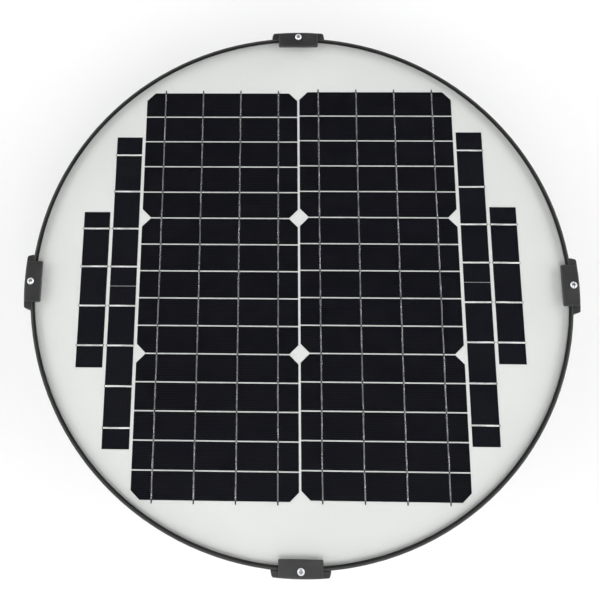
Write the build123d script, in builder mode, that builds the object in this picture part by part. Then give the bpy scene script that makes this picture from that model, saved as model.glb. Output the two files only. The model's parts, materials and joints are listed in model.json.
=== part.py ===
from build123d import *
import os
from math import cos, pi, radians, sin, sqrt, tan

# Solar attic fan. A round frameless solar panel is clamped at four points over a spun hood.
# Below the hood a motor turns a five-blade fan in the throat of a round roof flashing.
# Millimetres, +Z up, origin at the centre of the flashing's underside, where it meets the roof.
# +Y runs along the two columns of solar cells.

os.makedirs("parts", exist_ok=True)

SIDES = {"east": 0, "north": 90, "west": 180, "south": 270}  # the four panel clamps
FIT = 0.05  # radial clearance of plain round fits

# Roof flashing and throat
FLANGE_R = 280.0
FLANGE_LIP = 5.0
SHEET = 1.5
RISER_R = 187.5
RISER_TOP = 110.0
RISER_FLARE = 6.5  # how far the riser's top edge turns out
ROOF_HOLE_PCD = 516.0
ROOF_HOLES = 8
ROOF_HOLE_R = 3.0
ORIFICE_R = 181.5
ORIFICE_SHEET = 1.2
ORIFICE_BOTTOM = 24.0
ORIFICE_TOP = 88.0
ORIFICE_FLARE = 3.4
ORIFICE_NECK = 52.0  # the ring steps in from the riser between these two heights
ORIFICE_SHOULDER = 41.0
ORIFICE_RIVET_Z = 31.0

# Hood and what carries it
HOOD_R = 250.0
HOOD_TOP = 198.0
HOOD_SKIRT = 166.0
HOOD_HEM = 6.0
HOOD_EAVES_BEND = 26.0
HOOD_BEAD_R = 128.0  # a raised ring that stiffens the flat top
HOOD_BEAD_RISE = 3.5
M6_HOLE_R = 3.2
POST_FOOT = 48.0
POST_R = 197.0
POST_WIDTH = 40.0
POST_SHEET = 2.5
POST_KNEE = (82.0, 94.0)
POST_HEAD = 26.0
POST_BOLT_R = 212.0
POST_BOLT_SPREAD = 22.0
POST_RIVET_Z = (57.0, 73.0)
SCREEN_R = 190.0
SCREEN_SHEET = 1.0
SCREEN_FIT = 0.1
HOOP_H = 9.0
HOOP_SHEET = 1.5

# Motor bracket
BRACKET_Z = 92.0
BRACKET_SHEET = 2.5
BRACKET_DISC_R = 58.0
BRACKET_ARM = 30.0
TAB_R = 184.2
TAB_TOP = 108.0
TAB_RIVET_Z = 101.5
TAB_RIVET_SIDE = 9
BRACKET_RIB_H = 6.0
BRACKET_RIB_T = 2.0
BRACKET_RIB_R = (60.0, 178.0)
BRACKET_BORE_R = 20.0
ISOLATOR_H = 4.0
MOUNT_SCREW_R = 33.0
MOUNT_HOLE_R = 2.7
MOUNT_HEAD_H = 2.6
MOUNT_THREAD = 14.0

# Motor
MOTOR_R = 48.0
MOTOR_WALL = 3.6
MOTOR_EAR_R = 52.5
MOTOR_EAR = 5.0  # radius of an ear that takes a housing screw
MOTOR_EAR_H = 8.0
MOTOR_FLOOR = 4.0
MOTOR_SEAT_R = 19.0
MOTOR_MOUTH_R = 6.5
MOTOR_BOTTOM = BRACKET_Z + BRACKET_SHEET + ISOLATOR_H
MOTOR_SPLIT = 122.0
MOTOR_TOP = 160.5
FIN_BOTTOM = 133.5
FIN_T = 1.8
FIN_DEPTH = 5.0
FIN_ANGLE = 9
SHAFT_R = 5.0
SHAFT_BOTTOM = 42.0
SHAFT_TOP = 156.0
BEARING_R = 15.0
BEARING_W = 9.0
LOWER_BEARING_Z = 102.6
UPPER_BEARING_Z = 146.5
RACE_STEP_R = 8.2
ROTOR_R = 20.0
MAGNET_R = 23.6
STATOR_BORE_R = 24.2
STATOR_Z = (114.0, 138.0)
TEETH = 12
TOOTH_R = 31.5
TOOTH = (12.0, 6.0)
YOKE_R = 37.0
BOARD_Z = 142.6
BOARD_T = 1.6
LEAD_Z = 150.0
GLAND_R = 5.0
GLAND_SEAT = 51.2  # the flat on the motor's wall that the gland is screwed to

# Fan
BLADES = 5
FAN_R = 176.5
FAN_Z = 58.0
BLADE_SHEET = 1.6
SPIDER_SHEET = 2.5
SPIDER_R = 34.0
HUB_BOTTOM = FAN_Z - 6
HUB_TOP = FAN_Z + 22
BLADE_ROOT_R = 62.0
BLADE_LIFT = 0.15  # clearance between a blade and the spider arm under it
BLADE_RIVET = 2.0
HUB_SLEEVE_R = 9.9
HUB_FLANGE_R = 25.0
HUB_FLANGE_T = 3.5

# Solar panel, from its back up
PANEL_BACK = 228.0
BACKSHEET_T = 0.4
ENCAPSULANT_T = 0.5
CELL_T = 0.2
RIBBON_T = 0.2
GLASS_Z = 229.35
GLASS_T = 3.2
GLASS_R = 263.7
LAMINATE_R = 263.2
GASKET_R = 265.0
GASKET_LIP_R = 260.6
GASKET_LIP = 1.0
NOTCH_R = 4.0

# Cell strips: six to a square cell, cut across its four ribbons
CELL = 156.75
STRIP = 26.1
ROW_PITCH = 27.33
ROWS = 15
ROWS_PER_GROUP = 5
COLUMN_GAP = 2.2
COLUMN_TO_SIDE = 3.2
CORNER_CUT = 8.5
COLUMN_SHIFT = 0.75  # the right column sits this much up, the left one this much down
RIBBON_PITCH = CELL / 4
RIBBON_W = 1.3
RIBBON_STUB = 3.0
SIDE_GAP = 3.4
SIDE_PAIR_Y = {-1: -2.8, 1: 3.6}
SIDE_SINGLE_Y = {-1: -4.9, 1: 2.2}
SIDE_PAIR_JOINT = 0.4

# Panel clamps and the arms under them
CLAMP_SCREW_R = 264.5
CLAMP_WALL_R = 271.2
CLAMP_INNER_R = 243.0
CLAMP_HALF_OUTER = 25.5
CLAMP_HALF_RING = 27.3
CLAMP_BASE_Z = 222.0
PLATE_INNER = 254.1
PLATE_R = 270.2
PLATE_WIDTH = 40.8
PLATE_T = 2.5
ARM_WIDTH = 44.0
ARM_SHEET = 3.0
ARM_TIP_R = 269.0
ARM_ROOT_R = 150.0
ARM_RISE_R = (208.0, 232.0)
ARM_BOLT_R = (162.0, 180.0)

# Junction box under the panel, and the lead from it to the motor
BOX_X = 104.0
BOX_Y = 84.0
BOX_BOTTOM = 208.0
BOX_WALL = 2.0
BOX_LEAD_Z = 217.0
LEAD_R = 2.5
LEAD_DROP_Y = -92.0
GROMMET_Y = -91.3
GROMMET_BORE_R = 4.2
GROMMET_HOLE_R = 6.5
BOX_CORNER_R = 6.0
LID_T = 2.0
BOSS_X = 45.5
BOSS_Y = 35.5
TERMINAL_Y = 8.0
DIODE_Y = -8.0

GASKET_BOTTOM = PANEL_BACK - GASKET_LIP
GASKET_TOP = GLASS_Z + GLASS_T + GASKET_LIP
CELL_Z = PANEL_BACK + BACKSHEET_T + ENCAPSULANT_T
RIBBON_Z = CELL_Z + CELL_T


def save(piece, name):
    """Labels a finished piece and writes its STEP file."""
    piece.part.label = name
    export_step(piece.part, f"parts/{name}.step")


def outward(radius, angle, height, along=0.0):
    """Plane that faces away from the fan's axis: local x runs along the wall, local y is up."""
    turn = radians(angle)
    return Plane(
        origin=(
            radius * cos(turn) - along * sin(turn),
            radius * sin(turn) + along * cos(turn),
            height,
        ),
        x_dir=(-sin(turn), cos(turn), 0),
        z_dir=(cos(turn), sin(turn), 0),
    )


def spun(points, radii, sheet):
    """Sheet spun round the Z axis: a line of (radius, height) points, thickened on its right."""
    with BuildPart() as shell:
        with BuildSketch(Plane.XZ):
            with BuildLine():
                FilletPolyline(*points, radius=radii)
                offset(amount=sheet, side=Side.RIGHT)
            make_face()
        revolve(axis=Axis.Z)
    return shell.part


def bent_strip(points, radii, sheet, width, side):
    """Flat strip folded across its width: a line of (radius, height) points lying over +X."""
    with BuildPart() as strip:
        with BuildSketch(Plane.XZ):
            with BuildLine():
                FilletPolyline(*points, radius=radii)
                offset(amount=sheet, side=side)
            make_face()
        extrude(amount=width / 2, both=True)
    return strip.part


def turned(points):
    """Solid of revolution round Z from a closed outline of (radius, height) points."""
    with BuildPart() as solid:
        with BuildSketch(Plane.XZ):
            with BuildLine():
                Polyline(*points, close=True)
            make_face()
        revolve(axis=Axis.Z)
    return solid.part


def domed_pin(shank_r, shank, head_r, rim, head):
    """Round fastener: a shank below z = 0 and a head with a straight rim and a dome above."""
    dome = head - rim
    dome_r = (head_r * head_r + dome * dome) / (2 * dome)
    half_way = head - dome_r + sqrt(dome_r * dome_r - head_r * head_r / 4)
    with BuildPart() as pin:
        with BuildSketch(Plane.XZ):
            with BuildLine():
                Polyline(
                    (0, head), (0, -shank), (shank_r, -shank), (shank_r, 0), (head_r, 0), (head_r, rim)
                )
                ThreePointArc((head_r, rim), (head_r / 2, half_way), (0, head))
            make_face()
        revolve(axis=Axis.Z)
    return pin.part


def hex_bolt(shank_r, shank, flats, head):
    """Hexagon bolt with a thin washer face, head above z = 0."""
    washer = 1.6
    with BuildPart() as bolt:
        with BuildSketch():
            Circle(flats * 0.62)
        extrude(amount=washer)
        with BuildSketch(Plane.XY.offset(washer)):
            RegularPolygon(flats / 2, 6, major_radius=False)
        extrude(amount=head)
        with BuildSketch():
            Circle(shank_r)
        extrude(amount=-shank)
    return bolt.part


def hex_nut(bore_r, flats, height):
    """Hexagon nut standing on z = 0."""
    with BuildPart() as nut:
        with BuildSketch():
            RegularPolygon(flats / 2, 6, major_radius=False)
            Circle(bore_r, mode=Mode.SUBTRACT)
        extrude(amount=height)
        chamfer(nut.faces().sort_by(Axis.Z)[-1].outer_wire().edges(), height * 0.12)
    return nut.part


def phillips(screw, top, reach):
    """Screw with a cross recess cut into a head whose crown stands at height top."""
    with BuildPart() as driven:
        add(screw)
        with BuildSketch(Plane.XY.offset(top)):
            Rectangle(reach, reach * 0.27)
            Rectangle(reach * 0.27, reach)
        extrude(amount=-reach * 0.42, taper=8, mode=Mode.SUBTRACT)
    return driven.part


# Where the blind rivets pass through the riser: two for each hood post, two for each tab of the
# motor bracket and eight for the orifice ring.
RIVET_R = 2.4
RISER_FACE = RISER_R + SHEET
post_rivets = [(angle, height, 0) for angle in range(45, 360, 90) for height in POST_RIVET_Z]
tab_sides = (-TAB_RIVET_SIDE, TAB_RIVET_SIDE)
tab_rivets = [(angle, TAB_RIVET_Z, along) for angle in range(0, 360, 90) for along in tab_sides]
ring_rivets = [(22.5 + 45 * step, ORIFICE_RIVET_Z, 0) for step in range(8)]


def rivet_planes(rivets, radius):
    """Planes on which rivet heads sit, facing out at a radius."""
    return [outward(radius, angle, height, along) for angle, height, along in rivets]


def rivet_drill():
    """Short cylinder that cuts a rivet's hole, centred on the riser's face."""
    with BuildPart() as drill:
        Cylinder(RIVET_R + FIT, 16)
    return drill.part


# ---------------------------------------------------------------- roof flashing and throat

with BuildPart() as roof_flashing:
    add(
        spun(
            [
                (FLANGE_R, FLANGE_LIP),
                (FLANGE_R, 0),
                (RISER_R, 0),
                (RISER_R, RISER_TOP),
                (RISER_R + RISER_FLARE, RISER_TOP),
            ],
            [2.4, 9.0, 3.0],
            SHEET,
        )
    )
    with BuildSketch():
        with PolarLocations(ROOF_HOLE_PCD / 2, ROOF_HOLES, start_angle=180 / ROOF_HOLES):
            Circle(ROOF_HOLE_R)
    extrude(amount=SHEET, mode=Mode.SUBTRACT)
    with Locations(*rivet_planes(post_rivets + tab_rivets + ring_rivets, RISER_FACE)):
        add(rivet_drill(), mode=Mode.SUBTRACT)
save(roof_flashing, "roof_flashing")

# The orifice ring narrows the riser to the fan, with a lip to rivet it by and a flared mouth.
with BuildPart() as orifice_ring:
    lip_r = RISER_R - 0.15
    add(
        spun(
            [
                (ORIFICE_R + ORIFICE_FLARE, ORIFICE_TOP),
                (ORIFICE_R, ORIFICE_TOP - 8),
                (ORIFICE_R, ORIFICE_NECK),
                (lip_r, ORIFICE_SHOULDER),
                (lip_r, ORIFICE_BOTTOM),
            ],
            [6.0, 8.0, 4.0],
            ORIFICE_SHEET,
        )
    )
    with Locations(*rivet_planes(ring_rivets, RISER_FACE)):
        add(rivet_drill(), mode=Mode.SUBTRACT)
save(orifice_ring, "orifice_ring")

# ---------------------------------------------------------------- hood, posts and screen

hood_outline = [
    (0, HOOD_TOP),
    (HOOD_BEAD_R - 12, HOOD_TOP),
    (HOOD_BEAD_R - 7, HOOD_TOP + HOOD_BEAD_RISE),
    (HOOD_BEAD_R + 7, HOOD_TOP + HOOD_BEAD_RISE),
    (HOOD_BEAD_R + 12, HOOD_TOP),
    (HOOD_R, HOOD_TOP),
    (HOOD_R, HOOD_SKIRT),
    (HOOD_R - HOOD_HEM, HOOD_SKIRT),
]
with BuildPart() as hood:
    add(spun(hood_outline, [4, 2, 2, 4, HOOD_EAVES_BEND, 2.4], SHEET))
    with BuildSketch(Plane.XY.offset(HOOD_TOP)):
        for bolt_r in ARM_BOLT_R:
            with PolarLocations(bolt_r, 4):
                Circle(M6_HOLE_R)
        for angle in range(45, 360, 90):
            with Locations(Location((0, 0, 0), (0, 0, angle))):
                with Locations((POST_BOLT_R, -POST_BOLT_SPREAD / 2), (POST_BOLT_R, POST_BOLT_SPREAD / 2)):
                    Circle(M6_HOLE_R)
        with Locations((0, GROMMET_Y)):
            Circle(GROMMET_HOLE_R)
    extrude(amount=-SHEET, mode=Mode.SUBTRACT)
save(hood, "hood")

with BuildPart() as one_post:
    post_line = [
        (RISER_R + SHEET + 0.1, POST_FOOT),
        (RISER_R + SHEET + 0.1, POST_KNEE[0]),
        (POST_R, POST_KNEE[1]),
        (POST_R, HOOD_TOP - SHEET),
        (POST_R + POST_HEAD, HOOD_TOP - SHEET),
    ]
    add(bent_strip(post_line, [5, 5, 5], POST_SHEET, POST_WIDTH, Side.RIGHT))
    with Locations(*[outward(RISER_FACE, 0, height) for height in POST_RIVET_Z]):
        add(rivet_drill(), mode=Mode.SUBTRACT)
    with Locations(
        (POST_BOLT_R, -POST_BOLT_SPREAD / 2, HOOD_TOP), (POST_BOLT_R, POST_BOLT_SPREAD / 2, HOOD_TOP)
    ):
        Cylinder(M6_HOLE_R, 12, mode=Mode.SUBTRACT)
with BuildPart() as hood_posts:
    with PolarLocations(0, 4, start_angle=45):
        add(one_post.part)
save(hood_posts, "hood_posts")

with BuildPart() as critter_screen:
    screen_top = HOOD_TOP - SHEET - SCREEN_FIT
    add(
        turned(
            [
                (SCREEN_R, RISER_TOP + FIT),
                (SCREEN_R + SCREEN_SHEET, RISER_TOP + FIT),
                (SCREEN_R + SCREEN_SHEET, screen_top),
                (SCREEN_R, screen_top),
            ]
        )
    )
save(critter_screen, "critter_screen")

with BuildPart() as screen_hoops:
    hoop_r = SCREEN_R + SCREEN_SHEET + FIT
    for low, high in ((RISER_TOP + FIT, RISER_TOP + HOOP_H), (screen_top - HOOP_H, screen_top)):
        add(turned([(hoop_r, low), (hoop_r + HOOP_SHEET, low), (hoop_r + HOOP_SHEET, high), (hoop_r, high)]))
save(screen_hoops, "screen_hoops")

# ---------------------------------------------------------------- motor bracket

rib_middle = sum(BRACKET_RIB_R) / 2
rib_y = (BRACKET_ARM - BRACKET_RIB_T) / 2
with BuildPart() as one_arm:
    tab_line = [
        (BRACKET_DISC_R - 12, BRACKET_Z),
        (TAB_R + BRACKET_SHEET, BRACKET_Z),
        (TAB_R + BRACKET_SHEET, TAB_TOP),
    ]
    add(bent_strip(tab_line, [4], BRACKET_SHEET, BRACKET_ARM, Side.LEFT))
    # upturned edges stiffen the arm between the disc and the tab
    with BuildSketch(Plane.XY.offset(BRACKET_Z + BRACKET_SHEET)):
        with Locations((rib_middle, rib_y), (rib_middle, -rib_y)):
            Rectangle(BRACKET_RIB_R[1] - BRACKET_RIB_R[0], BRACKET_RIB_T)
    extrude(amount=BRACKET_RIB_H)
    tab_holes = [outward(RISER_FACE, 0, TAB_RIVET_Z, along) for along in tab_sides]
    with Locations(*tab_holes):
        add(rivet_drill(), mode=Mode.SUBTRACT)
with BuildPart() as motor_bracket:
    with BuildSketch(Plane.XY.offset(BRACKET_Z)):
        Circle(BRACKET_DISC_R)
    extrude(amount=BRACKET_SHEET)
    with PolarLocations(0, 4):
        add(one_arm.part)
    with BuildSketch(Plane.XY.offset(BRACKET_Z)):
        Circle(BRACKET_BORE_R)
        with PolarLocations(MOUNT_SCREW_R, 4, start_angle=45):
            Circle(MOUNT_HOLE_R)
        with PolarLocations(47, 4, start_angle=45):
            SlotOverall(16, 6, rotation=90)
    extrude(amount=BRACKET_SHEET, mode=Mode.SUBTRACT)
save(motor_bracket, "motor_bracket")

with BuildPart() as motor_isolators:
    isolator_z = BRACKET_Z + BRACKET_SHEET
    with BuildSketch(Plane.XY.offset(isolator_z)):
        with PolarLocations(MOUNT_SCREW_R, 4, start_angle=45):
            Circle(7)
            Circle(MOUNT_HOLE_R, mode=Mode.SUBTRACT)
    extrude(amount=ISOLATOR_H)
save(motor_isolators, "motor_isolators")

with BuildPart() as mount_screws:
    with BuildSketch(Plane.XY.offset(BRACKET_Z)):
        with PolarLocations(MOUNT_SCREW_R, 4, start_angle=45):
            Circle(4.8)
    extrude(amount=-MOUNT_HEAD_H)
    chamfer(mount_screws.faces().group_by(Axis.Z)[0].edges(), 0.9)
    with BuildSketch(Plane.XY.offset(BRACKET_Z - MOUNT_HEAD_H)):
        with PolarLocations(MOUNT_SCREW_R, 4, start_angle=45):
            RegularPolygon(1.6, 6)
    extrude(amount=1.6, mode=Mode.SUBTRACT)
    with BuildSketch(Plane.XY.offset(BRACKET_Z)):
        with PolarLocations(MOUNT_SCREW_R, 4, start_angle=45):
            Circle(2.5)
    extrude(amount=MOUNT_THREAD)
save(mount_screws, "mount_screws")

with BuildPart() as riser_rivets:
    with Locations(*rivet_planes(post_rivets, RISER_FACE + 0.1 + POST_SHEET)):
        add(domed_pin(RIVET_R, 7.0, 4.8, 0.3, 1.7))
    with Locations(*rivet_planes(tab_rivets + ring_rivets, RISER_FACE)):
        add(domed_pin(RIVET_R, 5.5, 4.8, 0.3, 1.7))
save(riser_rivets, "riser_rivets")

# ---------------------------------------------------------------- motor

cavity_r = MOTOR_R - MOTOR_WALL
seat_r = BEARING_R + FIT

with BuildPart() as motor_front_housing:
    floor_z = MOTOR_BOTTOM + MOTOR_FLOOR
    add(
        turned(
            [
                (MOTOR_MOUTH_R, MOTOR_BOTTOM),
                (MOTOR_R - 4, MOTOR_BOTTOM),
                (MOTOR_R, MOTOR_BOTTOM + 4),
                (MOTOR_R, MOTOR_SPLIT),
                (cavity_r, MOTOR_SPLIT),
                (cavity_r, floor_z),
                (MOTOR_SEAT_R, floor_z),
                (MOTOR_SEAT_R, LOWER_BEARING_Z + BEARING_W),
                (seat_r, LOWER_BEARING_Z + BEARING_W),
                (seat_r, floor_z),
                (MOTOR_MOUTH_R, floor_z),
            ]
        )
    )
    with BuildSketch(Plane.XY.offset(floor_z)):
        with PolarLocations(MOUNT_SCREW_R, 4, start_angle=45):
            Circle(6)
    extrude(amount=5)
    with BuildSketch(Plane.XY.offset(MOTOR_SPLIT)):
        with PolarLocations(MOTOR_EAR_R, 4, start_angle=22.5):
            Circle(MOTOR_EAR)
        with PolarLocations(MOTOR_EAR_R - 4, 4, start_angle=22.5):
            Rectangle(8, 10)
        Circle(MOTOR_R - 1, mode=Mode.SUBTRACT)
    extrude(amount=-10)
    with BuildSketch(Plane.XY.offset(MOTOR_BOTTOM)):
        with PolarLocations(MOUNT_SCREW_R, 4, start_angle=45):
            Circle(2.5 + FIT)
        with PolarLocations(MOTOR_EAR_R, 4, start_angle=22.5):
            Circle(2 + FIT)
    extrude(amount=MOTOR_SPLIT - MOTOR_BOTTOM, mode=Mode.SUBTRACT)
save(motor_front_housing, "motor_front_housing")

with BuildPart() as motor_rear_housing:
    roof_z = MOTOR_TOP - MOTOR_FLOOR
    add(
        turned(
            [
                (0, MOTOR_TOP),
                (0, roof_z),
                (seat_r, roof_z),
                (seat_r, UPPER_BEARING_Z),
                (MOTOR_SEAT_R, UPPER_BEARING_Z),
                (MOTOR_SEAT_R, roof_z),
                (cavity_r, roof_z),
                (cavity_r, MOTOR_SPLIT),
                (MOTOR_R, MOTOR_SPLIT),
                (MOTOR_R, MOTOR_TOP - 5),
                (MOTOR_R - 5, MOTOR_TOP),
            ]
        )
    )
    # cooling fins stand round the wall, except over the lead's gland
    with BuildSketch(Plane.XY.offset(FIN_BOTTOM)):
        for angle in range(0, 360, FIN_ANGLE):
            if abs(angle - 270) > 10:
                with Locations(Location((0, 0, 0), (0, 0, angle))):
                    with Locations((MOTOR_R + 1, 0)):
                        Rectangle(FIN_DEPTH, FIN_T)
    extrude(amount=MOTOR_TOP - 6 - FIN_BOTTOM)
    with BuildSketch(Plane.XY.offset(MOTOR_SPLIT)):
        with PolarLocations(MOTOR_EAR_R, 4, start_angle=22.5):
            Circle(MOTOR_EAR)
        with PolarLocations(MOTOR_EAR_R - 4, 4, start_angle=22.5):
            Rectangle(8, 10)
        Circle(MOTOR_R - 1, mode=Mode.SUBTRACT)
    extrude(amount=MOTOR_EAR_H)
    with BuildSketch(Plane.XY.offset(LEAD_Z - 8)):
        with Locations((0, -(cavity_r + GLAND_SEAT) / 2 - 0.4)):
            Rectangle(16, GLAND_SEAT - cavity_r - 0.8)
    extrude(amount=14)
    with Locations(outward(MOTOR_R, 270, LEAD_Z)):
        Cylinder(GLAND_R + FIT, 14, mode=Mode.SUBTRACT)
    with BuildSketch(Plane.XY.offset(MOTOR_SPLIT)):
        with PolarLocations(MOTOR_EAR_R, 4, start_angle=22.5):
            Circle(2 + FIT)
    extrude(amount=MOTOR_EAR_H, mode=Mode.SUBTRACT)
save(motor_rear_housing, "motor_rear_housing")

with BuildPart() as housing_screws:
    pan_head = phillips(domed_pin(2.0, 17, 3.75, 0.9, 2.4), 2.4, 4.0)
    with PolarLocations(MOTOR_EAR_R, 4, start_angle=22.5):
        with Locations((0, 0, MOTOR_SPLIT + MOTOR_EAR_H)):
            add(pan_head)
save(housing_screws, "housing_screws")

with BuildPart() as stator_core:
    with BuildSketch(Plane.XY.offset(STATOR_Z[0])):
        Circle(cavity_r - FIT)
        Circle(YOKE_R, mode=Mode.SUBTRACT)
        for step in range(TEETH):
            with Locations(Location((0, 0, 0), (0, 0, step * 360 / TEETH))):
                with Locations((TOOTH_R, 0)):
                    Rectangle(*TOOTH)
                with Locations((26, 0)):
                    Rectangle(2.4, 10)
        Circle(STATOR_BORE_R, mode=Mode.SUBTRACT)
    extrude(amount=STATOR_Z[1] - STATOR_Z[0])
save(stator_core, "stator_core")

with BuildPart() as one_coil:
    with Locations((32, 0, (STATOR_Z[0] + STATOR_Z[1]) / 2)):
        Box(7.4, 11.6, STATOR_Z[1] - STATOR_Z[0] + 5)
        Box(8, 6.1, STATOR_Z[1] - STATOR_Z[0] + 0.1, mode=Mode.SUBTRACT)
    fillet(one_coil.edges().filter_by(Axis.X).group_by(Axis.Z)[0], 1.8)
    fillet(one_coil.edges().filter_by(Axis.X).group_by(Axis.Z)[-1], 1.8)
with BuildPart() as stator_coils:
    with PolarLocations(0, TEETH):
        add(one_coil.part)
save(stator_coils, "stator_coils")

with BuildPart() as driver_board:
    with BuildSketch(Plane.XY.offset(BOARD_Z)):
        Circle(cavity_r - 0.6)
        Circle(ROTOR_R + 0.5, mode=Mode.SUBTRACT)
    extrude(amount=BOARD_T)
save(driver_board, "driver_board")

with BuildPart() as bearing_outer_races:
    for low in (LOWER_BEARING_Z, UPPER_BEARING_Z):
        shield_r = RACE_STEP_R + FIT
        high = low + BEARING_W
        add(
            turned(
                [
                    (shield_r, low),
                    (BEARING_R, low),
                    (BEARING_R, high),
                    (shield_r, high),
                    (shield_r, high - 0.9),
                    (12, high - 0.9),
                    (12, low + 0.9),
                    (shield_r, low + 0.9),
                ]
            )
        )
save(bearing_outer_races, "bearing_outer_races")

with BuildPart() as bearing_inner_races:
    for low in (LOWER_BEARING_Z, UPPER_BEARING_Z):
        high = low + BEARING_W
        add(turned([(SHAFT_R, low), (RACE_STEP_R, low), (RACE_STEP_R, high), (SHAFT_R, high)]))
save(bearing_inner_races, "bearing_inner_races")

with BuildPart() as motor_shaft:
    with BuildSketch(Plane.XY.offset(SHAFT_BOTTOM)):
        Circle(SHAFT_R)
    extrude(amount=SHAFT_TOP - SHAFT_BOTTOM)
    chamfer(motor_shaft.faces().sort_by(Axis.Z)[0].edges(), 0.8)
save(motor_shaft, "motor_shaft")

with BuildPart() as rotor_core:
    with BuildSketch(Plane.XY.offset(STATOR_Z[0] + 1)):
        Circle(ROTOR_R)
        Circle(SHAFT_R, mode=Mode.SUBTRACT)
    extrude(amount=STATOR_Z[1] - STATOR_Z[0] - 2)
save(rotor_core, "rotor_core")

with BuildPart() as rotor_magnets:
    with BuildSketch(Plane.XY.offset(STATOR_Z[0] + 1)):
        Circle(MAGNET_R)
        Circle(ROTOR_R + 0.02, mode=Mode.SUBTRACT)
        with PolarLocations((MAGNET_R + ROTOR_R) / 2, 8):
            Rectangle(5, 1.4, mode=Mode.SUBTRACT)
    extrude(amount=STATOR_Z[1] - STATOR_Z[0] - 2)
save(rotor_magnets, "rotor_magnets")

# ---------------------------------------------------------------- fan


def pitch(radius):
    """Blade angle to the plane of the fan, in degrees: it flattens towards the tip."""
    return 36.0 - 17.0 * (radius - BLADE_ROOT_R) / (FAN_R - BLADE_ROOT_R)


def chord(radius):
    """Blade width along the turn."""
    return 72.0 + 40.0 * sin(radians(90) * (radius - BLADE_ROOT_R) / (FAN_R - BLADE_ROOT_R))


def camber_radius(radius):
    """Radius of the arc that a blade's cross-section is pressed to."""
    half = chord(radius) / 2
    rise = 0.06 * chord(radius)
    return (half * half + rise * rise) / (2 * rise)


def blade_plane(radius):
    """Plane square to the blade's length, its local x tilted by the blade's pitch."""
    tilt = radians(pitch(radius))
    return Plane(origin=(radius, 0, FAN_Z), x_dir=(0, cos(tilt), -sin(tilt)), z_dir=(1, 0, 0))


def arc_section(plane, width, arc_radius, lift, sheet):
    """Strip pressed to an arc that bulges down, its underside at lift in the middle."""
    half = width / 2
    edge = lift + arc_radius - sqrt(arc_radius * arc_radius - half * half)
    with BuildSketch(plane) as section:
        with BuildLine():
            ThreePointArc((-half, edge), (0, lift), (half, edge))
            offset(amount=sheet, side=Side.LEFT)
        make_face()
    return section.sketch


BLADE_RIVET_R = (68.0, 78.0, 88.0)
HUB_RIVET_R = 20.5


def blade_rivet_planes(lift):
    """Planes on the blade's upper face over +X where its rivets sit, raised by lift."""
    planes = []
    for r in BLADE_RIVET_R:
        face = blade_plane(r)
        planes.append(Plane(origin=face.origin + face.y_dir * lift, x_dir=face.x_dir, z_dir=face.y_dir))
    return planes


blade_stations = [BLADE_ROOT_R, 78.0, 98.0, 136.0, FAN_R + 2]
for number in range(BLADES):
    with BuildPart() as fan_blade:
        sections = [
            arc_section(blade_plane(r), chord(r), camber_radius(r), BLADE_LIFT, BLADE_SHEET)
            for r in blade_stations
        ]
        loft(sections)
        with BuildSketch():
            Circle(FAN_R)
        extrude(amount=2 * FAN_Z, mode=Mode.INTERSECT)
        with Locations(*blade_rivet_planes(0)):
            Cylinder(BLADE_RIVET + FIT, 12, mode=Mode.SUBTRACT)
    with BuildPart() as placed_blade:
        with Locations(Location((0, 0, 0), (0, 0, number * 360 / BLADES))):
            add(fan_blade.part)
    save(placed_blade, f"fan_blade_{number + 1}")

# The spider is a pressed disc whose five arms twist to lie under the blades.
spider_z = FAN_Z - SPIDER_SHEET / 2
with BuildPart() as spider_arm:
    flat = Plane(origin=(SPIDER_R - 6, 0, FAN_Z), x_dir=(0, 1, 0), z_dir=(1, 0, 0))
    arm_sections = [arc_section(flat, 32, 4000, -SPIDER_SHEET / 2, SPIDER_SHEET)]
    for r in (BLADE_ROOT_R - 4, 70.0, 82.0, 95.0):
        arm_sections.append(arc_section(blade_plane(r), 32, camber_radius(r), -SPIDER_SHEET, SPIDER_SHEET))
    loft(arm_sections, ruled=False)
    with Locations(*blade_rivet_planes(0)):
        Cylinder(BLADE_RIVET + FIT, 12, mode=Mode.SUBTRACT)
with BuildPart() as fan_spider:
    with BuildSketch(Plane.XY.offset(spider_z)):
        Circle(SPIDER_R)
    extrude(amount=SPIDER_SHEET)
    with PolarLocations(0, BLADES):
        add(spider_arm.part)
    with BuildSketch(Plane.XY.offset(spider_z)):
        Circle(10)
        with PolarLocations(HUB_RIVET_R, BLADES, start_angle=36):
            Circle(BLADE_RIVET + FIT)
    extrude(amount=SPIDER_SHEET, mode=Mode.SUBTRACT)
save(fan_spider, "fan_spider")

with BuildPart() as fan_hub:
    flange_z = FAN_Z + SPIDER_SHEET / 2
    add(
        turned(
            [
                (SHAFT_R, HUB_BOTTOM),
                (HUB_SLEEVE_R, HUB_BOTTOM),
                (HUB_SLEEVE_R, flange_z),
                (HUB_FLANGE_R, flange_z),
                (HUB_FLANGE_R, flange_z + HUB_FLANGE_T),
                (15.5, flange_z + HUB_FLANGE_T),
                (14, flange_z + 6),
                (12, HUB_TOP),
                (SHAFT_R, HUB_TOP),
            ]
        )
    )
    with PolarLocations(HUB_RIVET_R, BLADES, start_angle=36):
        with Locations((0, 0, FAN_Z)):
            Cylinder(BLADE_RIVET + FIT, 30, mode=Mode.SUBTRACT)
save(fan_hub, "fan_hub")

with BuildPart() as blade_rivets:
    for number in range(BLADES):
        with Locations(Location((0, 0, 0), (0, 0, number * 360 / BLADES))):
            with Locations(*blade_rivet_planes(BLADE_LIFT + BLADE_SHEET + 0.1)):
                add(domed_pin(BLADE_RIVET, 5.2, 4.0, 0.3, 1.6))
    with PolarLocations(HUB_RIVET_R, BLADES, start_angle=36):
        with Locations((0, 0, flange_z + HUB_FLANGE_T)):
            add(domed_pin(BLADE_RIVET, 8.0, 3.4, 0.3, 1.4))
save(blade_rivets, "blade_rivets")

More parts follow.
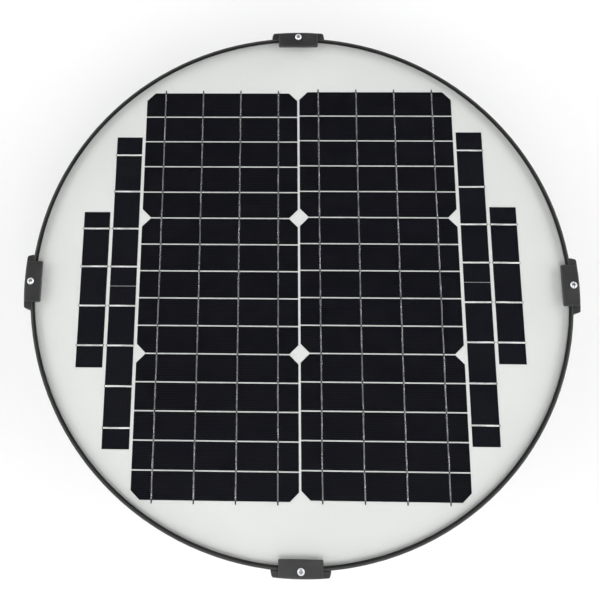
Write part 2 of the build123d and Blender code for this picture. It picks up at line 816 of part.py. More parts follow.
with BuildPart() as shaft_nut:
    with Locations((0, 0, HUB_BOTTOM - 8.5)):
        add(hex_nut(SHAFT_R + FIT, 17, 7))
    with BuildSketch(Plane.XY.offset(HUB_BOTTOM - 1.5)):
        Circle(10.5)
        Circle(SHAFT_R + FIT, mode=Mode.SUBTRACT)
    extrude(amount=1.5)
save(shaft_nut, "shaft_nut")

# ---------------------------------------------------------------- arms under the panel

with BuildPart() as one_panel_arm:
    arm_line = [
        (ARM_ROOT_R, HOOD_TOP),
        (ARM_RISE_R[0], HOOD_TOP),
        (ARM_RISE_R[1], CLAMP_BASE_Z - ARM_SHEET),
        (ARM_TIP_R, CLAMP_BASE_Z - ARM_SHEET),
    ]
    add(bent_strip(arm_line, [7, 7], ARM_SHEET, ARM_WIDTH, Side.LEFT))
    fillet(one_panel_arm.edges().filter_by(Axis.Z).group_by(Axis.X)[0], 8)
    fillet(one_panel_arm.edges().filter_by(Axis.Z).group_by(Axis.X)[-1], 3)
    with Locations((ARM_BOLT_R[0], 0, HOOD_TOP), (ARM_BOLT_R[1], 0, HOOD_TOP)):
        Cylinder(M6_HOLE_R, 12, mode=Mode.SUBTRACT)
    with Locations((CLAMP_SCREW_R, 0, CLAMP_BASE_Z)):
        Cylinder(2.2, 12, mode=Mode.SUBTRACT)
with BuildPart() as panel_arms:
    with PolarLocations(0, 4):
        add(one_panel_arm.part)
save(panel_arms, "panel_arms")

bolt_tops = [(r, 0, HOOD_TOP + ARM_SHEET) for r in ARM_BOLT_R]
post_sides = (-POST_BOLT_SPREAD / 2, POST_BOLT_SPREAD / 2)
with BuildPart() as hood_bolts:
    m6_bolt = hex_bolt(3.0, 13, 10, 4)
    for angle in range(0, 360, 90):
        with Locations(Location((0, 0, 0), (0, 0, angle))):
            with Locations(*bolt_tops):
                add(m6_bolt)
        with Locations(Location((0, 0, 0), (0, 0, angle + 45))):
            with Locations(*[(POST_BOLT_R, y, HOOD_TOP) for y in post_sides]):
                add(m6_bolt)
save(hood_bolts, "hood_bolts")

with BuildPart() as hood_nuts:
    m6_nut = hex_nut(3.0 + FIT, 10, 5)
    hood_under = HOOD_TOP - SHEET
    for angle in range(0, 360, 90):
        with Locations(Location((0, 0, 0), (0, 0, angle))):
            with Locations(*[(r, 0, hood_under - 5) for r in ARM_BOLT_R]):
                add(m6_nut)
        with Locations(Location((0, 0, 0), (0, 0, angle + 45))):
            with Locations(*[(POST_BOLT_R, y, hood_under - POST_SHEET - 5) for y in post_sides]):
                add(m6_nut)
save(hood_nuts, "hood_nuts")

# ---------------------------------------------------------------- solar laminate


def laminate_disc(radius, bottom, thickness, edge=0.0):
    """Disc with a half-round notch at each clamp, and its rims eased by edge."""
    with BuildPart() as disc:
        with BuildSketch(Plane.XY.offset(bottom)):
            Circle(radius)
        extrude(amount=thickness)
        if edge:
            chamfer(disc.edges().filter_by(GeomType.CIRCLE), edge)
        with BuildSketch(Plane.XY.offset(bottom)):
            with PolarLocations(CLAMP_SCREW_R, 4):
                Circle(NOTCH_R)
        extrude(amount=thickness, mode=Mode.SUBTRACT)
    return disc


save(laminate_disc(GLASS_R, GLASS_Z, GLASS_T, 0.5), "front_glass")
save(laminate_disc(LAMINATE_R, PANEL_BACK + BACKSHEET_T, ENCAPSULANT_T), "rear_encapsulant")
save(laminate_disc(LAMINATE_R, PANEL_BACK, BACKSHEET_T), "backsheet")


def strip_outline(cut_top, cut_bottom):
    """Corners of one cell strip, its cut corners where the square cell's own corners were."""
    half_w = CELL / 2
    half_h = STRIP / 2
    corners = []
    for sx, sy, cut in ((1, 1, cut_top), (-1, 1, cut_top), (-1, -1, cut_bottom), (1, -1, cut_bottom)):
        beside = (sx * half_w, sy * (half_h - CORNER_CUT))
        along = (sx * (half_w - CORNER_CUT), sy * half_h)
        if not cut:
            corners.append((sx * half_w, sy * half_h))
        elif sx == sy:
            corners += [beside, along]
        else:
            corners += [along, beside]
    return corners


column_x = (COLUMN_GAP + CELL) / 2
for name, side in (("cell_column_left", -1), ("cell_column_right", 1)):
    with BuildPart() as cell_column:
        with BuildSketch(Plane.XY.offset(CELL_Z)):
            for row in range(ROWS):
                place = row % ROWS_PER_GROUP
                y = ROW_PITCH * ((ROWS - 1) / 2 - row) + side * COLUMN_SHIFT
                with Locations((side * column_x, y)):
                    Polygon(*strip_outline(place == 0, place == ROWS_PER_GROUP - 1), align=None)
        extrude(amount=CELL_T)
    save(cell_column, name)

inner_x = COLUMN_GAP / 2 + CELL + COLUMN_TO_SIDE + STRIP / 2
outer_x = inner_x + STRIP + SIDE_GAP
pair_offset = (CELL + SIDE_PAIR_JOINT) / 2
with BuildPart() as side_cells:
    with BuildSketch(Plane.XY.offset(CELL_Z)):
        for side in (-1, 1):
            pair_y = SIDE_PAIR_Y[side]
            with Locations((side * inner_x, pair_y + pair_offset), (side * inner_x, pair_y - pair_offset)):
                Rectangle(STRIP, CELL)
            with Locations((side * outer_x, SIDE_SINGLE_Y[side])):
                Rectangle(STRIP, CELL)
    extrude(amount=CELL_T)
save(side_cells, "side_cells")

ribbon_steps = [(step - 1.5) * RIBBON_PITCH for step in range(4)]
column_height = ROW_PITCH * (ROWS - 1) + STRIP
with BuildPart() as column_ribbons:
    with BuildSketch(Plane.XY.offset(RIBBON_Z)):
        for side in (-1, 1):
            for step in ribbon_steps:
                with Locations((side * column_x + step, side * COLUMN_SHIFT)):
                    Rectangle(RIBBON_W, column_height + 2 * RIBBON_STUB)
    extrude(amount=RIBBON_T)
save(column_ribbons, "column_ribbons")

with BuildPart() as side_ribbons:
    with BuildSketch(Plane.XY.offset(RIBBON_Z)):
        for side in (-1, 1):
            for end in (-1, 1):
                for step in ribbon_steps:
                    y = SIDE_PAIR_Y[side] + end * pair_offset + step
                    beside_single = abs(y - SIDE_SINGLE_Y[side]) < CELL / 2
                    tip_x = (outer_x if beside_single else inner_x) + STRIP / 2 + RIBBON_STUB
                    root_x = inner_x - STRIP / 2 - 1
                    with Locations((side * (tip_x + root_x) / 2, y)):
                        Rectangle(tip_x - root_x, RIBBON_W)
    extrude(amount=RIBBON_T)
save(side_ribbons, "side_ribbons")

# The edge gasket is a channel round the laminate, in four lengths that end at the clamps.
with BuildPart() as edge_gasket:
    with BuildSketch(Plane.XZ) as channel:
        with BuildLine():
            Polyline(
                (GASKET_LIP_R, GASKET_BOTTOM),
                (GASKET_R, GASKET_BOTTOM),
                (GASKET_R, GASKET_TOP),
                (GASKET_LIP_R, GASKET_TOP),
                close=True,
            )
        make_face()
        fillet(channel.vertices().group_by(Axis.X)[-1], 1.1)
        with BuildLine():
            Polyline(
                (GASKET_LIP_R - 1, PANEL_BACK),
                (GLASS_R + 0.1, PANEL_BACK),
                (GLASS_R + 0.1, GLASS_Z + GLASS_T),
                (GASKET_LIP_R - 1, GLASS_Z + GLASS_T),
                close=True,
            )
        make_face(mode=Mode.SUBTRACT)
    revolve(axis=Axis.Z)
    with BuildSketch(Plane.XY.offset(GASKET_BOTTOM)):
        with PolarLocations(CLAMP_SCREW_R, 4):
            Circle(NOTCH_R + 0.6)
    extrude(amount=GASKET_TOP - GASKET_BOTTOM, mode=Mode.SUBTRACT)
save(edge_gasket, "edge_gasket")

# ---------------------------------------------------------------- panel clamps

# Lower clamp: a block under the laminate's edge, a wall outside it and a boss through the notch.
with BuildPart() as clamp_base_master:
    ring_r = GASKET_R + 0.15
    with BuildSketch(Plane.XY.offset(CLAMP_BASE_Z)):
        with BuildLine():
            Polyline(
                (CLAMP_INNER_R, 18),
                (CLAMP_INNER_R + 10, CLAMP_HALF_RING),
                (ring_r, CLAMP_HALF_RING),
                (CLAMP_WALL_R + 1, CLAMP_HALF_OUTER),
                (CLAMP_WALL_R + 1, -CLAMP_HALF_OUTER),
                (ring_r, -CLAMP_HALF_RING),
                (CLAMP_INNER_R + 10, -CLAMP_HALF_RING),
                (CLAMP_INNER_R, -18),
                close=True,
            )
        make_face()
        Circle(CLAMP_WALL_R, mode=Mode.INTERSECT)
    extrude(amount=GASKET_TOP - CLAMP_BASE_Z)
    with BuildSketch(Plane.XY.offset(GASKET_BOTTOM)):
        Circle(ring_r)
    extrude(amount=GASKET_TOP - GASKET_BOTTOM, mode=Mode.SUBTRACT)
    upright = clamp_base_master.edges().filter_by(Axis.Z).group_by(Axis.X)[-1]
    fillet(upright, 2.2)
    with BuildSketch(Plane.XY.offset(GASKET_BOTTOM)):
        with Locations((CLAMP_SCREW_R, 0)):
            Circle(3.4)
    extrude(amount=GASKET_TOP - GASKET_BOTTOM - 0.05)
    with Locations((CLAMP_SCREW_R, 0, GASKET_BOTTOM)):
        Cylinder(2.1, 30, mode=Mode.SUBTRACT)

with BuildPart() as clamp_plate_master:
    with BuildSketch(Plane.XY.offset(GASKET_TOP)) as outline:
        with Locations(((PLATE_INNER + PLATE_R) / 2 + 1, 0)):
            Rectangle(PLATE_R - PLATE_INNER + 2, PLATE_WIDTH)
        Circle(PLATE_R, mode=Mode.INTERSECT)
        fillet(outline.vertices(), 1.4)
    extrude(amount=PLATE_T)
    chamfer(clamp_plate_master.faces().sort_by(Axis.Z)[-1].outer_wire().edges(), 0.7)
    with Locations((CLAMP_SCREW_R, 0, GASKET_TOP)):
        Cylinder(2.1, 12, mode=Mode.SUBTRACT)

for side_name, angle in SIDES.items():
    with BuildPart() as clamp_base:
        with Locations(Location((0, 0, 0), (0, 0, angle))):
            add(clamp_base_master.part)
    save(clamp_base, f"clamp_base_{side_name}")
    with BuildPart() as clamp_plate:
        with Locations(Location((0, 0, 0), (0, 0, angle))):
            add(clamp_plate_master.part)
    save(clamp_plate, f"clamp_plate_{side_name}")

clamp_top = GASKET_TOP + PLATE_T
clamp_nut_h = 3.2
with BuildPart() as clamp_screws:
    m4_screw = phillips(domed_pin(2.0, 22, 3.4, 0.9, 2.5), 2.5, 4.0)
    with PolarLocations(CLAMP_SCREW_R, 4):
        with Locations((0, 0, clamp_top)):
            add(m4_screw)
save(clamp_screws, "clamp_screws")

with BuildPart() as clamp_nuts:
    with PolarLocations(CLAMP_SCREW_R, 4):
        with Locations((0, 0, CLAMP_BASE_Z - ARM_SHEET - clamp_nut_h)):
            add(hex_nut(2.0 + FIT, 7, clamp_nut_h))
save(clamp_nuts, "clamp_nuts")

# ---------------------------------------------------------------- junction box and lead

boss_places = [(x, y) for x in (-BOSS_X, BOSS_X) for y in (-BOSS_Y, BOSS_Y)]
with BuildPart() as junction_box:
    with BuildSketch(Plane.XY.offset(BOX_BOTTOM)):
        RectangleRounded(BOX_X, BOX_Y, BOX_CORNER_R)
    extrude(amount=PANEL_BACK - BOX_BOTTOM)
    with BuildSketch(Plane.XY.offset(BOX_BOTTOM)):
        RectangleRounded(BOX_X - 2 * BOX_WALL, BOX_Y - 2 * BOX_WALL, BOX_CORNER_R - BOX_WALL)
        with Locations(*boss_places):
            Circle(5.2, mode=Mode.SUBTRACT)
    extrude(amount=PANEL_BACK - BOX_BOTTOM - BOX_WALL, mode=Mode.SUBTRACT)
    with Locations(outward(BOX_Y / 2, 270, BOX_LEAD_Z)):
        Cylinder(GLAND_R + FIT, 8, mode=Mode.SUBTRACT)
    with BuildSketch(Plane.XY.offset(BOX_BOTTOM)):
        with Locations(*boss_places):
            Circle(1.5 + FIT)
    extrude(amount=10, mode=Mode.SUBTRACT)
save(junction_box, "junction_box")

with BuildPart() as junction_box_lid:
    with BuildSketch(Plane.XY.offset(BOX_BOTTOM)):
        RectangleRounded(BOX_X, BOX_Y, BOX_CORNER_R)
    extrude(amount=-LID_T)
    chamfer(junction_box_lid.faces().sort_by(Axis.Z)[0].outer_wire().edges(), 0.8)
    with BuildSketch(Plane.XY.offset(BOX_BOTTOM - LID_T)):
        with Locations(*boss_places):
            Circle(1.7)
    extrude(amount=LID_T, mode=Mode.SUBTRACT)
save(junction_box_lid, "junction_box_lid")

with BuildPart() as lid_screws:
    m3_screw = phillips(domed_pin(1.5, 10, 2.8, 0.7, 1.8), 1.8, 3.2)
    for x, y in boss_places:
        with Locations(Plane(origin=(x, y, BOX_BOTTOM - LID_T), x_dir=(1, 0, 0), z_dir=(0, 0, -1))):
            add(m3_screw)
save(lid_screws, "lid_screws")

box_roof = PANEL_BACK - BOX_WALL
terminal_x = (-27, -9, 9, 27)
with BuildPart() as terminal_strip:
    with Locations((0, TERMINAL_Y, box_roof - 2)):
        Box(76, 16, 4)
    with BuildSketch(Plane.XY.offset(box_roof - 4)):
        with Locations(*[(x, TERMINAL_Y) for x in terminal_x]):
            Rectangle(9, 12)
            Circle(1.8, mode=Mode.SUBTRACT)
    extrude(amount=-5)
save(terminal_strip, "terminal_strip")

with BuildPart() as bypass_diodes:
    for x in (-18, 0, 18):
        with Locations(Location((x, DIODE_Y, box_roof - 4), (0, 90, 0))):
            Cylinder(2.7, 9)
            Cylinder(0.6, 15)
save(bypass_diodes, "bypass_diodes")

with BuildPart() as one_gland:
    with BuildSketch():
        Circle(GLAND_R)
    extrude(amount=-6.5)
    with BuildSketch():
        RegularPolygon(7, 6, major_radius=False)
    extrude(amount=5)
    add(turned([(0, 5), (6.4, 5), (6.4, 10), (4.6, 13), (0, 13)]))
    with Locations((0, 0, 4)):
        Cylinder(LEAD_R + FIT, 30, mode=Mode.SUBTRACT)
with BuildPart() as lead_glands:
    with Locations(outward(BOX_Y / 2, 270, BOX_LEAD_Z), outward(GLAND_SEAT, 270, LEAD_Z)):
        add(one_gland.part)
save(lead_glands, "lead_glands")

with BuildPart() as hood_grommet:
    grommet_plane = Plane(origin=(0, GROMMET_Y, HOOD_TOP - SHEET / 2))
    with BuildSketch(grommet_plane) as grommet_ring:
        Circle(8.5)
        Circle(GROMMET_BORE_R, mode=Mode.SUBTRACT)
    extrude(amount=2.2, both=True)
    with BuildSketch(grommet_plane):
        Circle(9)
        Circle(GROMMET_HOLE_R - FIT, mode=Mode.SUBTRACT)
    extrude(amount=SHEET / 2, both=True, mode=Mode.SUBTRACT)
save(hood_grommet, "hood_grommet")

# The lead leaves the box level, drops through the grommet and turns back to the motor.
lead_route = [
    Vector(0, -36, BOX_LEAD_Z),
    Vector(0, LEAD_DROP_Y, BOX_LEAD_Z),
    Vector(0, LEAD_DROP_Y, LEAD_Z),
    Vector(0, -36, LEAD_Z),
]
lead_radii = []
for before, here, after in zip(lead_route, lead_route[1:], lead_route[2:]):
    turn = (here - before).get_angle(after - here)
    shorter = min((here - before).length, (after - here).length)
    lead_radii.append(0.45 * shorter / tan(radians(turn) / 2))
with BuildPart() as panel_lead:
    with BuildLine() as lead_path:
        FilletPolyline(*lead_route, radius=lead_radii)
    with BuildSketch(Plane(origin=lead_route[0], z_dir=(0, -1, 0))):
        Circle(LEAD_R)
    sweep()
save(panel_lead, "panel_lead")
lead_length = sum(edge.length for edge in lead_path.edges())
print("lead radii", [round(r, 1) for r in lead_radii], "length", round(lead_length, 1))
print("lead volume over section times length", panel_lead.part.volume / (lead_length * pi * LEAD_R**2))
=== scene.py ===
import json
import logging
import math
from dataclasses import dataclass
from enum import Enum
from typing import Any, Iterable, Sequence, Union

import bpy
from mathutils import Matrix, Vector


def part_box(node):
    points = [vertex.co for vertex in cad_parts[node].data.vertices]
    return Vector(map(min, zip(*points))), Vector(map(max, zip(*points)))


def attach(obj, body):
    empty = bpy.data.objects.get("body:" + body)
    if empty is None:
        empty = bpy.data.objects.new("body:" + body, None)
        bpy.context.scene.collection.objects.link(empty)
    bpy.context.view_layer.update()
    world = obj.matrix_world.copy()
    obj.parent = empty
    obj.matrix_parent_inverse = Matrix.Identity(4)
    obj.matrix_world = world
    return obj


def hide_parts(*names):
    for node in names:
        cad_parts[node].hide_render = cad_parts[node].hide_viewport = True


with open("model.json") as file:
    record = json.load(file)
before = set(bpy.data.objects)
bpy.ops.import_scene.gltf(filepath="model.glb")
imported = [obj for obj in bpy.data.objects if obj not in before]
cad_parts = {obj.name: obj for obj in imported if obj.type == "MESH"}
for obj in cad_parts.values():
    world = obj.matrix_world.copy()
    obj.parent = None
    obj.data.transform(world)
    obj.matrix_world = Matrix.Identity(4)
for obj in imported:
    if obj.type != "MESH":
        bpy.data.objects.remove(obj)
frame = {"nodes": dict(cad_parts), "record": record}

LOG = logging.getLogger("solar_attic_fan")
MM = 0.001
FULL_TURN = 2 * math.pi
LEVEL = (1.0, 1.0, 0.0)
FLOAT, INTEGER, VECTOR = "NodeSocketFloat", "NodeSocketInt", "NodeSocketVector"
GEOMETRY, MATERIAL = "NodeSocketGeometry", "NodeSocketMaterial"

Material = bpy.types.Material
Mesh = bpy.types.Mesh
Node = bpy.types.Node
Piece = bpy.types.Object
Socket = bpy.types.NodeSocket
Tree = bpy.types.NodeTree
Colour = tuple[float, float, float]
Feed = Union[Socket, float, int, Sequence[float]]
Feeds = dict[Union[str, int], Feed]


class Axis(Enum):
    """Direction in which a pattern's lines run."""

    X = 0
    Y = 1


class Skin(Enum):
    """How a finish breaks up at close range."""

    POWDER = "powder"
    MOULDED = "moulded"
    CAST = "cast"
    TURNED = "turned"


def rgba(colour: Colour) -> tuple[float, float, float, float]:
    """Colour with full alpha."""
    return (*colour, 1.0)


def grey(value: float, blue: float = 0.0) -> Colour:
    """Grey with a little more blue."""
    return (value, value, value + blue)


# ------------------------------------------------------------------ node graphs


class Graph:
    """Adds nodes to one tree and links them."""

    def __init__(self, tree: Tree) -> None:
        """Keep the tree that receives the nodes."""
        self.tree = tree

    def feed(self, socket: Socket, value: Feed) -> None:
        """Link a socket to another, or set its value.

        Args:
            socket: Input that is fed.
            value: Output socket or plain value.
        """
        if isinstance(value, Socket):
            self.tree.links.new(value, socket)
        else:
            socket.default_value = value

    def add(self, kind: str, inputs: Feeds | None = None, **settings: Any) -> Node:
        """Add a node.

        Args:
            kind: Blender's name of the node type.
            inputs: Values or sockets for its inputs, by name or position.
            **settings: Properties of the node itself.

        Returns:
            The new node.
        """
        node = self.tree.nodes.new(kind)
        for key, value in settings.items():
            setattr(node, key, value)
        for key, value in (inputs or {}).items():
            self.feed(node.inputs[key], value)
        return node

    def group(self, tree: Tree, inputs: Feeds) -> Node:
        """Add a shader group."""
        return self.add("ShaderNodeGroup", inputs, node_tree=tree)

    def place(self) -> Socket:
        """Coordinates of the piece in metres."""
        return self.add("ShaderNodeTexCoord").outputs["Object"]

    def maths(self, operation: str, first: Feed, second: Feed = 0.0) -> Socket:
        """Result of a Math node."""
        return self.add("ShaderNodeMath", {0: first, 1: second}, operation=operation).outputs[0]

    def times(self, *factors: Feed) -> Socket:
        """Product of two or more values.

        Args:
            *factors: Sockets or numbers.

        Returns:
            The product's socket.
        """
        product = factors[0]
        for factor in factors[1:]:
            product = self.maths("MULTIPLY", product, factor)
        return product

    def vector(self, operation: str, first: Feed, second: Feed = (0.0, 0.0, 0.0)) -> Socket:
        """Vector result of a Vector Math node."""
        inputs = {0: first, 1: second}
        return self.add("ShaderNodeVectorMath", inputs, operation=operation).outputs[0]

    def scalar(self, operation: str, first: Feed, second: Feed = (0.0, 0.0, 0.0)) -> Socket:
        """Single value that a Vector Math node gives."""
        inputs = {0: first, 1: second}
        return self.add("ShaderNodeVectorMath", inputs, operation=operation).outputs["Value"]

    def split(self, vector: Feed) -> bpy.types.NodeOutputs:
        """The three parts of a vector."""
        return self.add("ShaderNodeSeparateXYZ", {0: vector}).outputs

    def join(self, x: Feed = 0.0, y: Feed = 0.0, z: Feed = 0.0) -> Socket:
        """Vector of three parts."""
        return self.add("ShaderNodeCombineXYZ", {0: x, 1: y, 2: z}).outputs[0]

    def mix(self, factor: Feed, first: Feed, second: Feed) -> Socket:
        """Blend two colours."""
        inputs = {0: factor, 6: first, 7: second}
        return self.add("ShaderNodeMix", inputs, data_type="RGBA").outputs[2]

    def span(
        self, value: Feed, low: float, high: float, start: float = 0.0, end: float = 1.0
    ) -> Socket:
        """Map low..high onto start..end, held at both ends."""
        inputs = {0: value, 1: low, 2: high, 3: start, 4: end}
        return self.add("ShaderNodeMapRange", inputs).outputs[0]

    def noise(self, place: Feed, scale: Feed, detail: float = 3.0) -> Socket:
        """Noise around a half, with cells counted by the metre."""
        inputs = {"Vector": place, "Scale": scale, "Detail": detail}
        return self.add("ShaderNodeTexNoise", inputs).outputs[0]


class SharedEffects:
    """Shader groups that more than one finish uses."""

    def __init__(self) -> None:
        """Build every group once."""
        self.wear = self._edge_wear()
        self.dust = self._settled_dust()
        self.grain = self._fine_grain()
        self.streaks = self._brushed_streaks()

    @staticmethod
    def _open(
        name: str, inputs: dict[str, float | None], outputs: dict[str, str]
    ) -> tuple[Graph, bpy.types.NodeOutputs, bpy.types.NodeInputs]:
        """Start a group.

        Args:
            name: Name of the group.
            inputs: Usual value of each input, or None for a vector.
            outputs: Socket type of each output.

        Returns:
            The graph, what it is given and what it has to feed.
        """
        tree = bpy.data.node_groups.new(name, "ShaderNodeTree")
        for title, value in inputs.items():
            kind = VECTOR if value is None else FLOAT
            socket = tree.interface.new_socket(title, in_out="INPUT", socket_type=kind)
            if value is not None:
                socket.default_value = value
        for title, kind in outputs.items():
            tree.interface.new_socket(title, in_out="OUTPUT", socket_type=kind)
        graph = Graph(tree)
        return graph, graph.add("NodeGroupInput").outputs, graph.add("NodeGroupOutput").inputs

    def _edge_wear(self) -> Tree:
        """Build the mask of rubbed edges, and a normal that eases them.

        Returns:
            The group's tree.
        """
        usual = {"Radius": 0.6 * MM, "Amount": 0.5, "Scale": 400.0}
        graph, given, result = self._open("edge_wear", usual, {"Mask": FLOAT, "Normal": VECTOR})
        eased = graph.add("ShaderNodeBevel", {"Radius": given["Radius"]}, samples=4).outputs[0]
        flat = graph.add("ShaderNodeNewGeometry").outputs["Normal"]
        edge = graph.span(graph.scalar("DOT_PRODUCT", eased, flat), 0.99, 0.80)
        torn = graph.span(graph.noise(graph.place(), given["Scale"], 4.0), 0.42, 0.62)
        graph.feed(result["Mask"], graph.times(edge, torn, given["Amount"]))
        graph.feed(result["Normal"], eased)
        return graph.tree

    def _settled_dust(self) -> Tree:
        """Build the mask of dust that lies in patches on faces that look up.

        Returns:
            The group's tree.
        """
        usual = {"Amount": 0.3, "Scale": 34.0}
        graph, given, result = self._open("settled_dust", usual, {"Mask": FLOAT})
        up = graph.split(graph.add("ShaderNodeNewGeometry").outputs["Normal"])[2]
        place = graph.place()
        patch = graph.span(graph.noise(place, given["Scale"], 9.0), 0.25, 0.80)
        speck = graph.span(graph.noise(place, 900.0, 2.0), 0.3, 0.7, 0.55, 1.0)
        lying = graph.span(up, -0.2, 0.9, 0.15, 1.0)
        graph.feed(result["Mask"], graph.times(lying, patch, speck, given["Amount"]))
        return graph.tree

    def _fine_grain(self) -> Tree:
        """Build the fine pimples of powder coat or of a spark-eroded mould.

        Returns:
            The group's tree.
        """
        usual = {"Scale": 1500.0, "Mottle": 60.0}
        graph, given, result = self._open("fine_grain", usual, {"Height": FLOAT, "Tone": FLOAT})
        place = graph.place()
        fine = graph.times(graph.noise(place, given["Scale"], 2.0), 0.6)
        cells = {"Vector": place, "Scale": given["Scale"]}
        pits = graph.add("ShaderNodeTexVoronoi", cells, feature="SMOOTH_F1").outputs[0]
        graph.feed(result["Height"], graph.maths("ADD", fine, graph.times(pits, 0.4)))
        graph.feed(result["Tone"], graph.noise(place, given["Mottle"], 5.0))
        return graph.tree

    def _brushed_streaks(self) -> Tree:
        """Build the streaks of a turned or rolled sheet, along the vector's first axis.

        Returns:
            The group's tree.
        """
        usual = {"Vector": None, "Scale": 900.0}
        outputs = {"Height": FLOAT, "Tone": FLOAT}
        graph, given, result = self._open("brushed_streaks", usual, outputs)
        drawn = graph.vector("MULTIPLY", given["Vector"], (0.02, 1.0, 1.0))
        fine = graph.noise(drawn, given["Scale"], 4.0)
        slow = graph.noise(given["Vector"], 35.0, 3.0)
        graph.feed(result["Height"], fine)
        tone = graph.maths("ADD", graph.times(fine, 0.6), graph.times(slow, 0.4))
        graph.feed(result["Tone"], tone)
        return graph.tree


# ------------------------------------------------------------------ finishes


@dataclass(frozen=True)
class Finish:
    """A material of one of the object's slots.

    Attributes:
        slot: Slot of the record that the finish belongs to.
        colour: Main colour, linear.
        roughness: Middle of the roughness range.
        metallic: 1 for bare metal.
    """

    slot: str
    colour: Colour
    roughness: float = 0.5
    metallic: float = 0.0

    def open(self, title: str = "") -> tuple[Material, Graph, Node]:
        """Start the material.

        Args:
            title: Name, if it isn't the slot's.

        Returns:
            The material, its graph and its Principled shader.
        """
        material = bpy.data.materials.new(title or self.slot)
        material.use_nodes = True
        material.node_tree.nodes.clear()
        material.diffuse_color = rgba(self.colour)
        graph = Graph(material.node_tree)
        values = {
            "Base Color": rgba(self.colour),
            "Roughness": self.roughness,
            "Metallic": self.metallic,
        }
        shader = graph.add("ShaderNodeBsdfPrincipled", values)
        graph.add("ShaderNodeOutputMaterial", {"Surface": shader.outputs[0]})
        return material, graph, shader

    @staticmethod
    def relief(
        graph: Graph, shader: Node, height: Feed, depth: float, normal: Feed | None = None
    ) -> None:
        """Raise the surface by a height.

        Args:
            graph: Graph of the material.
            shader: Shader whose normal is set.
            height: Height from 0 to 1.
            depth: What a height of 1 is, in metres.
            normal: Normal to start from.
        """
        inputs: Feeds = {"Height": height, "Distance": depth, "Strength": 1.0}
        if normal is not None:
            inputs["Normal"] = normal
        graph.feed(shader.inputs["Normal"], graph.add("ShaderNodeBump", inputs).outputs[0])


@dataclass(frozen=True)
class Worked(Finish):
    """Coated, moulded, cast or bare part with worn edges and settled dust.

    Attributes:
        skin: How the finish breaks up at close range.
        tint: Colour that the slow mottle leads to.
        bare: Colour under the finish, at rubbed edges.
        wear: How far edges are rubbed.
        dust: How much dust has settled.
        grain: Cells of the fine grain in a metre.
        depth: Height of the grain in metres.
        bevel: Radius that eases the edges, in metres.
        sheen: Strength of the mirroring that isn't metallic.
        dirt: Colour of the dust.
        spread: How far the roughness strays from its middle.
        mottle: Cells of the slow mottle in a metre, and those of a casting.
    """

    skin: Skin = Skin.POWDER
    tint: Colour = grey(0.05)
    bare: Colour = grey(0.3)
    wear: float = 0.4
    dust: float = 0.2
    grain: float = 1500.0
    depth: float = 0.05 * MM
    bevel: float = 0.6 * MM
    sheen: float = 0.5
    dirt: Colour = (0.34, 0.32, 0.29)
    spread: float = 0.07
    mottle: tuple[float, float] = (16.0, 45.0)

    def base(self, graph: Graph, place: Socket, tone: Socket) -> Socket:
        """Colour before wear and dust."""
        return graph.mix(tone, rgba(self.colour), rgba(self.tint))

    def texture(self, graph: Graph, place: Socket, effects: SharedEffects) -> Node:
        """Place the group that breaks up the surface.

        Args:
            graph: Graph of the material.
            place: Coordinates of the piece.
            effects: Groups shared by the finishes.

        Returns:
            The group's node, with a height and a tone.
        """
        if self.skin is not Skin.TURNED:
            mottle = self.mottle[1 if self.skin is Skin.CAST else 0]
            return graph.group(effects.grain, {"Scale": self.grain, "Mottle": mottle})
        parts = graph.split(place)
        squares = (graph.maths("POWER", parts[axis.value], 2.0) for axis in Axis)
        radius = graph.maths("SQRT", graph.maths("ADD", *squares))
        angle = graph.times(graph.maths("ARCTAN2", parts[1], parts[0]), 0.02)
        unrolled = graph.join(angle, radius, parts[2])
        return graph.group(effects.streaks, {"Vector": unrolled, "Scale": self.grain})

    def make(self, effects: SharedEffects) -> Material:
        """Build the material.

        Args:
            effects: Groups shared by the finishes.

        Returns:
            The finished material.
        """
        material, graph, shader = self.open()
        shader.inputs["Specular IOR Level"].default_value = self.sheen
        place = graph.place()
        texture = self.texture(graph, place, effects)
        tone = graph.span(texture.outputs["Tone"], 0.3, 0.7)
        worn = graph.group(effects.wear, {"Amount": self.wear, "Radius": self.bevel}).outputs
        dust = graph.group(effects.dust, {"Amount": self.dust}).outputs["Mask"]
        colour = graph.mix(worn["Mask"], self.base(graph, place, tone), rgba(self.bare))
        graph.feed(shader.inputs["Base Color"], graph.mix(dust, colour, rgba(self.dirt)))
        smooth, rough = self.roughness - self.spread, self.roughness + self.spread
        even = graph.span(tone, 0.0, 1.0, smooth, rough)
        dulled = graph.maths("ADD", even, graph.times(dust, 0.3))
        rubbed = graph.maths("SUBTRACT", dulled, graph.times(worn["Mask"], 0.15))
        graph.feed(shader.inputs["Roughness"], rubbed)
        self.relief(graph, shader, texture.outputs["Height"], self.depth, worn["Normal"])
        return material


@dataclass(frozen=True)
class EdgeRubber(Worked):
    """Rubber edge whose outer band is lighter grey: a painted highlight on its round bead.

    Attributes:
        outer_highlight: Colour of the outer band, a painted highlight.
        border: Radius where the bands meet, in metres.
        blur: Half the width over which they meet.
    """

    outer_highlight: Colour = grey(0.05, 0.002)
    border: float = 262.8 * MM
    blur: float = 0.5 * MM

    def base(self, graph: Graph, place: Socket, tone: Socket) -> Socket:
        """Colour of the inner band, and the painted highlight of the outer band beyond the border.

        Args:
            graph: Graph of the material.
            place: Coordinates of the piece.
            tone: Slow mottle from 0 to 1.

        Returns:
            The colour's socket.
        """
        radius = graph.scalar("LENGTH", graph.vector("MULTIPLY", place, LEVEL))
        outer = graph.span(radius, self.border - self.blur, self.border + self.blur)
        # Painted highlight: the outer band, where the round bead catches light, is painted a
        # lighter grey.
        return graph.mix(outer, super().base(graph, place, tone), rgba(self.outer_highlight))


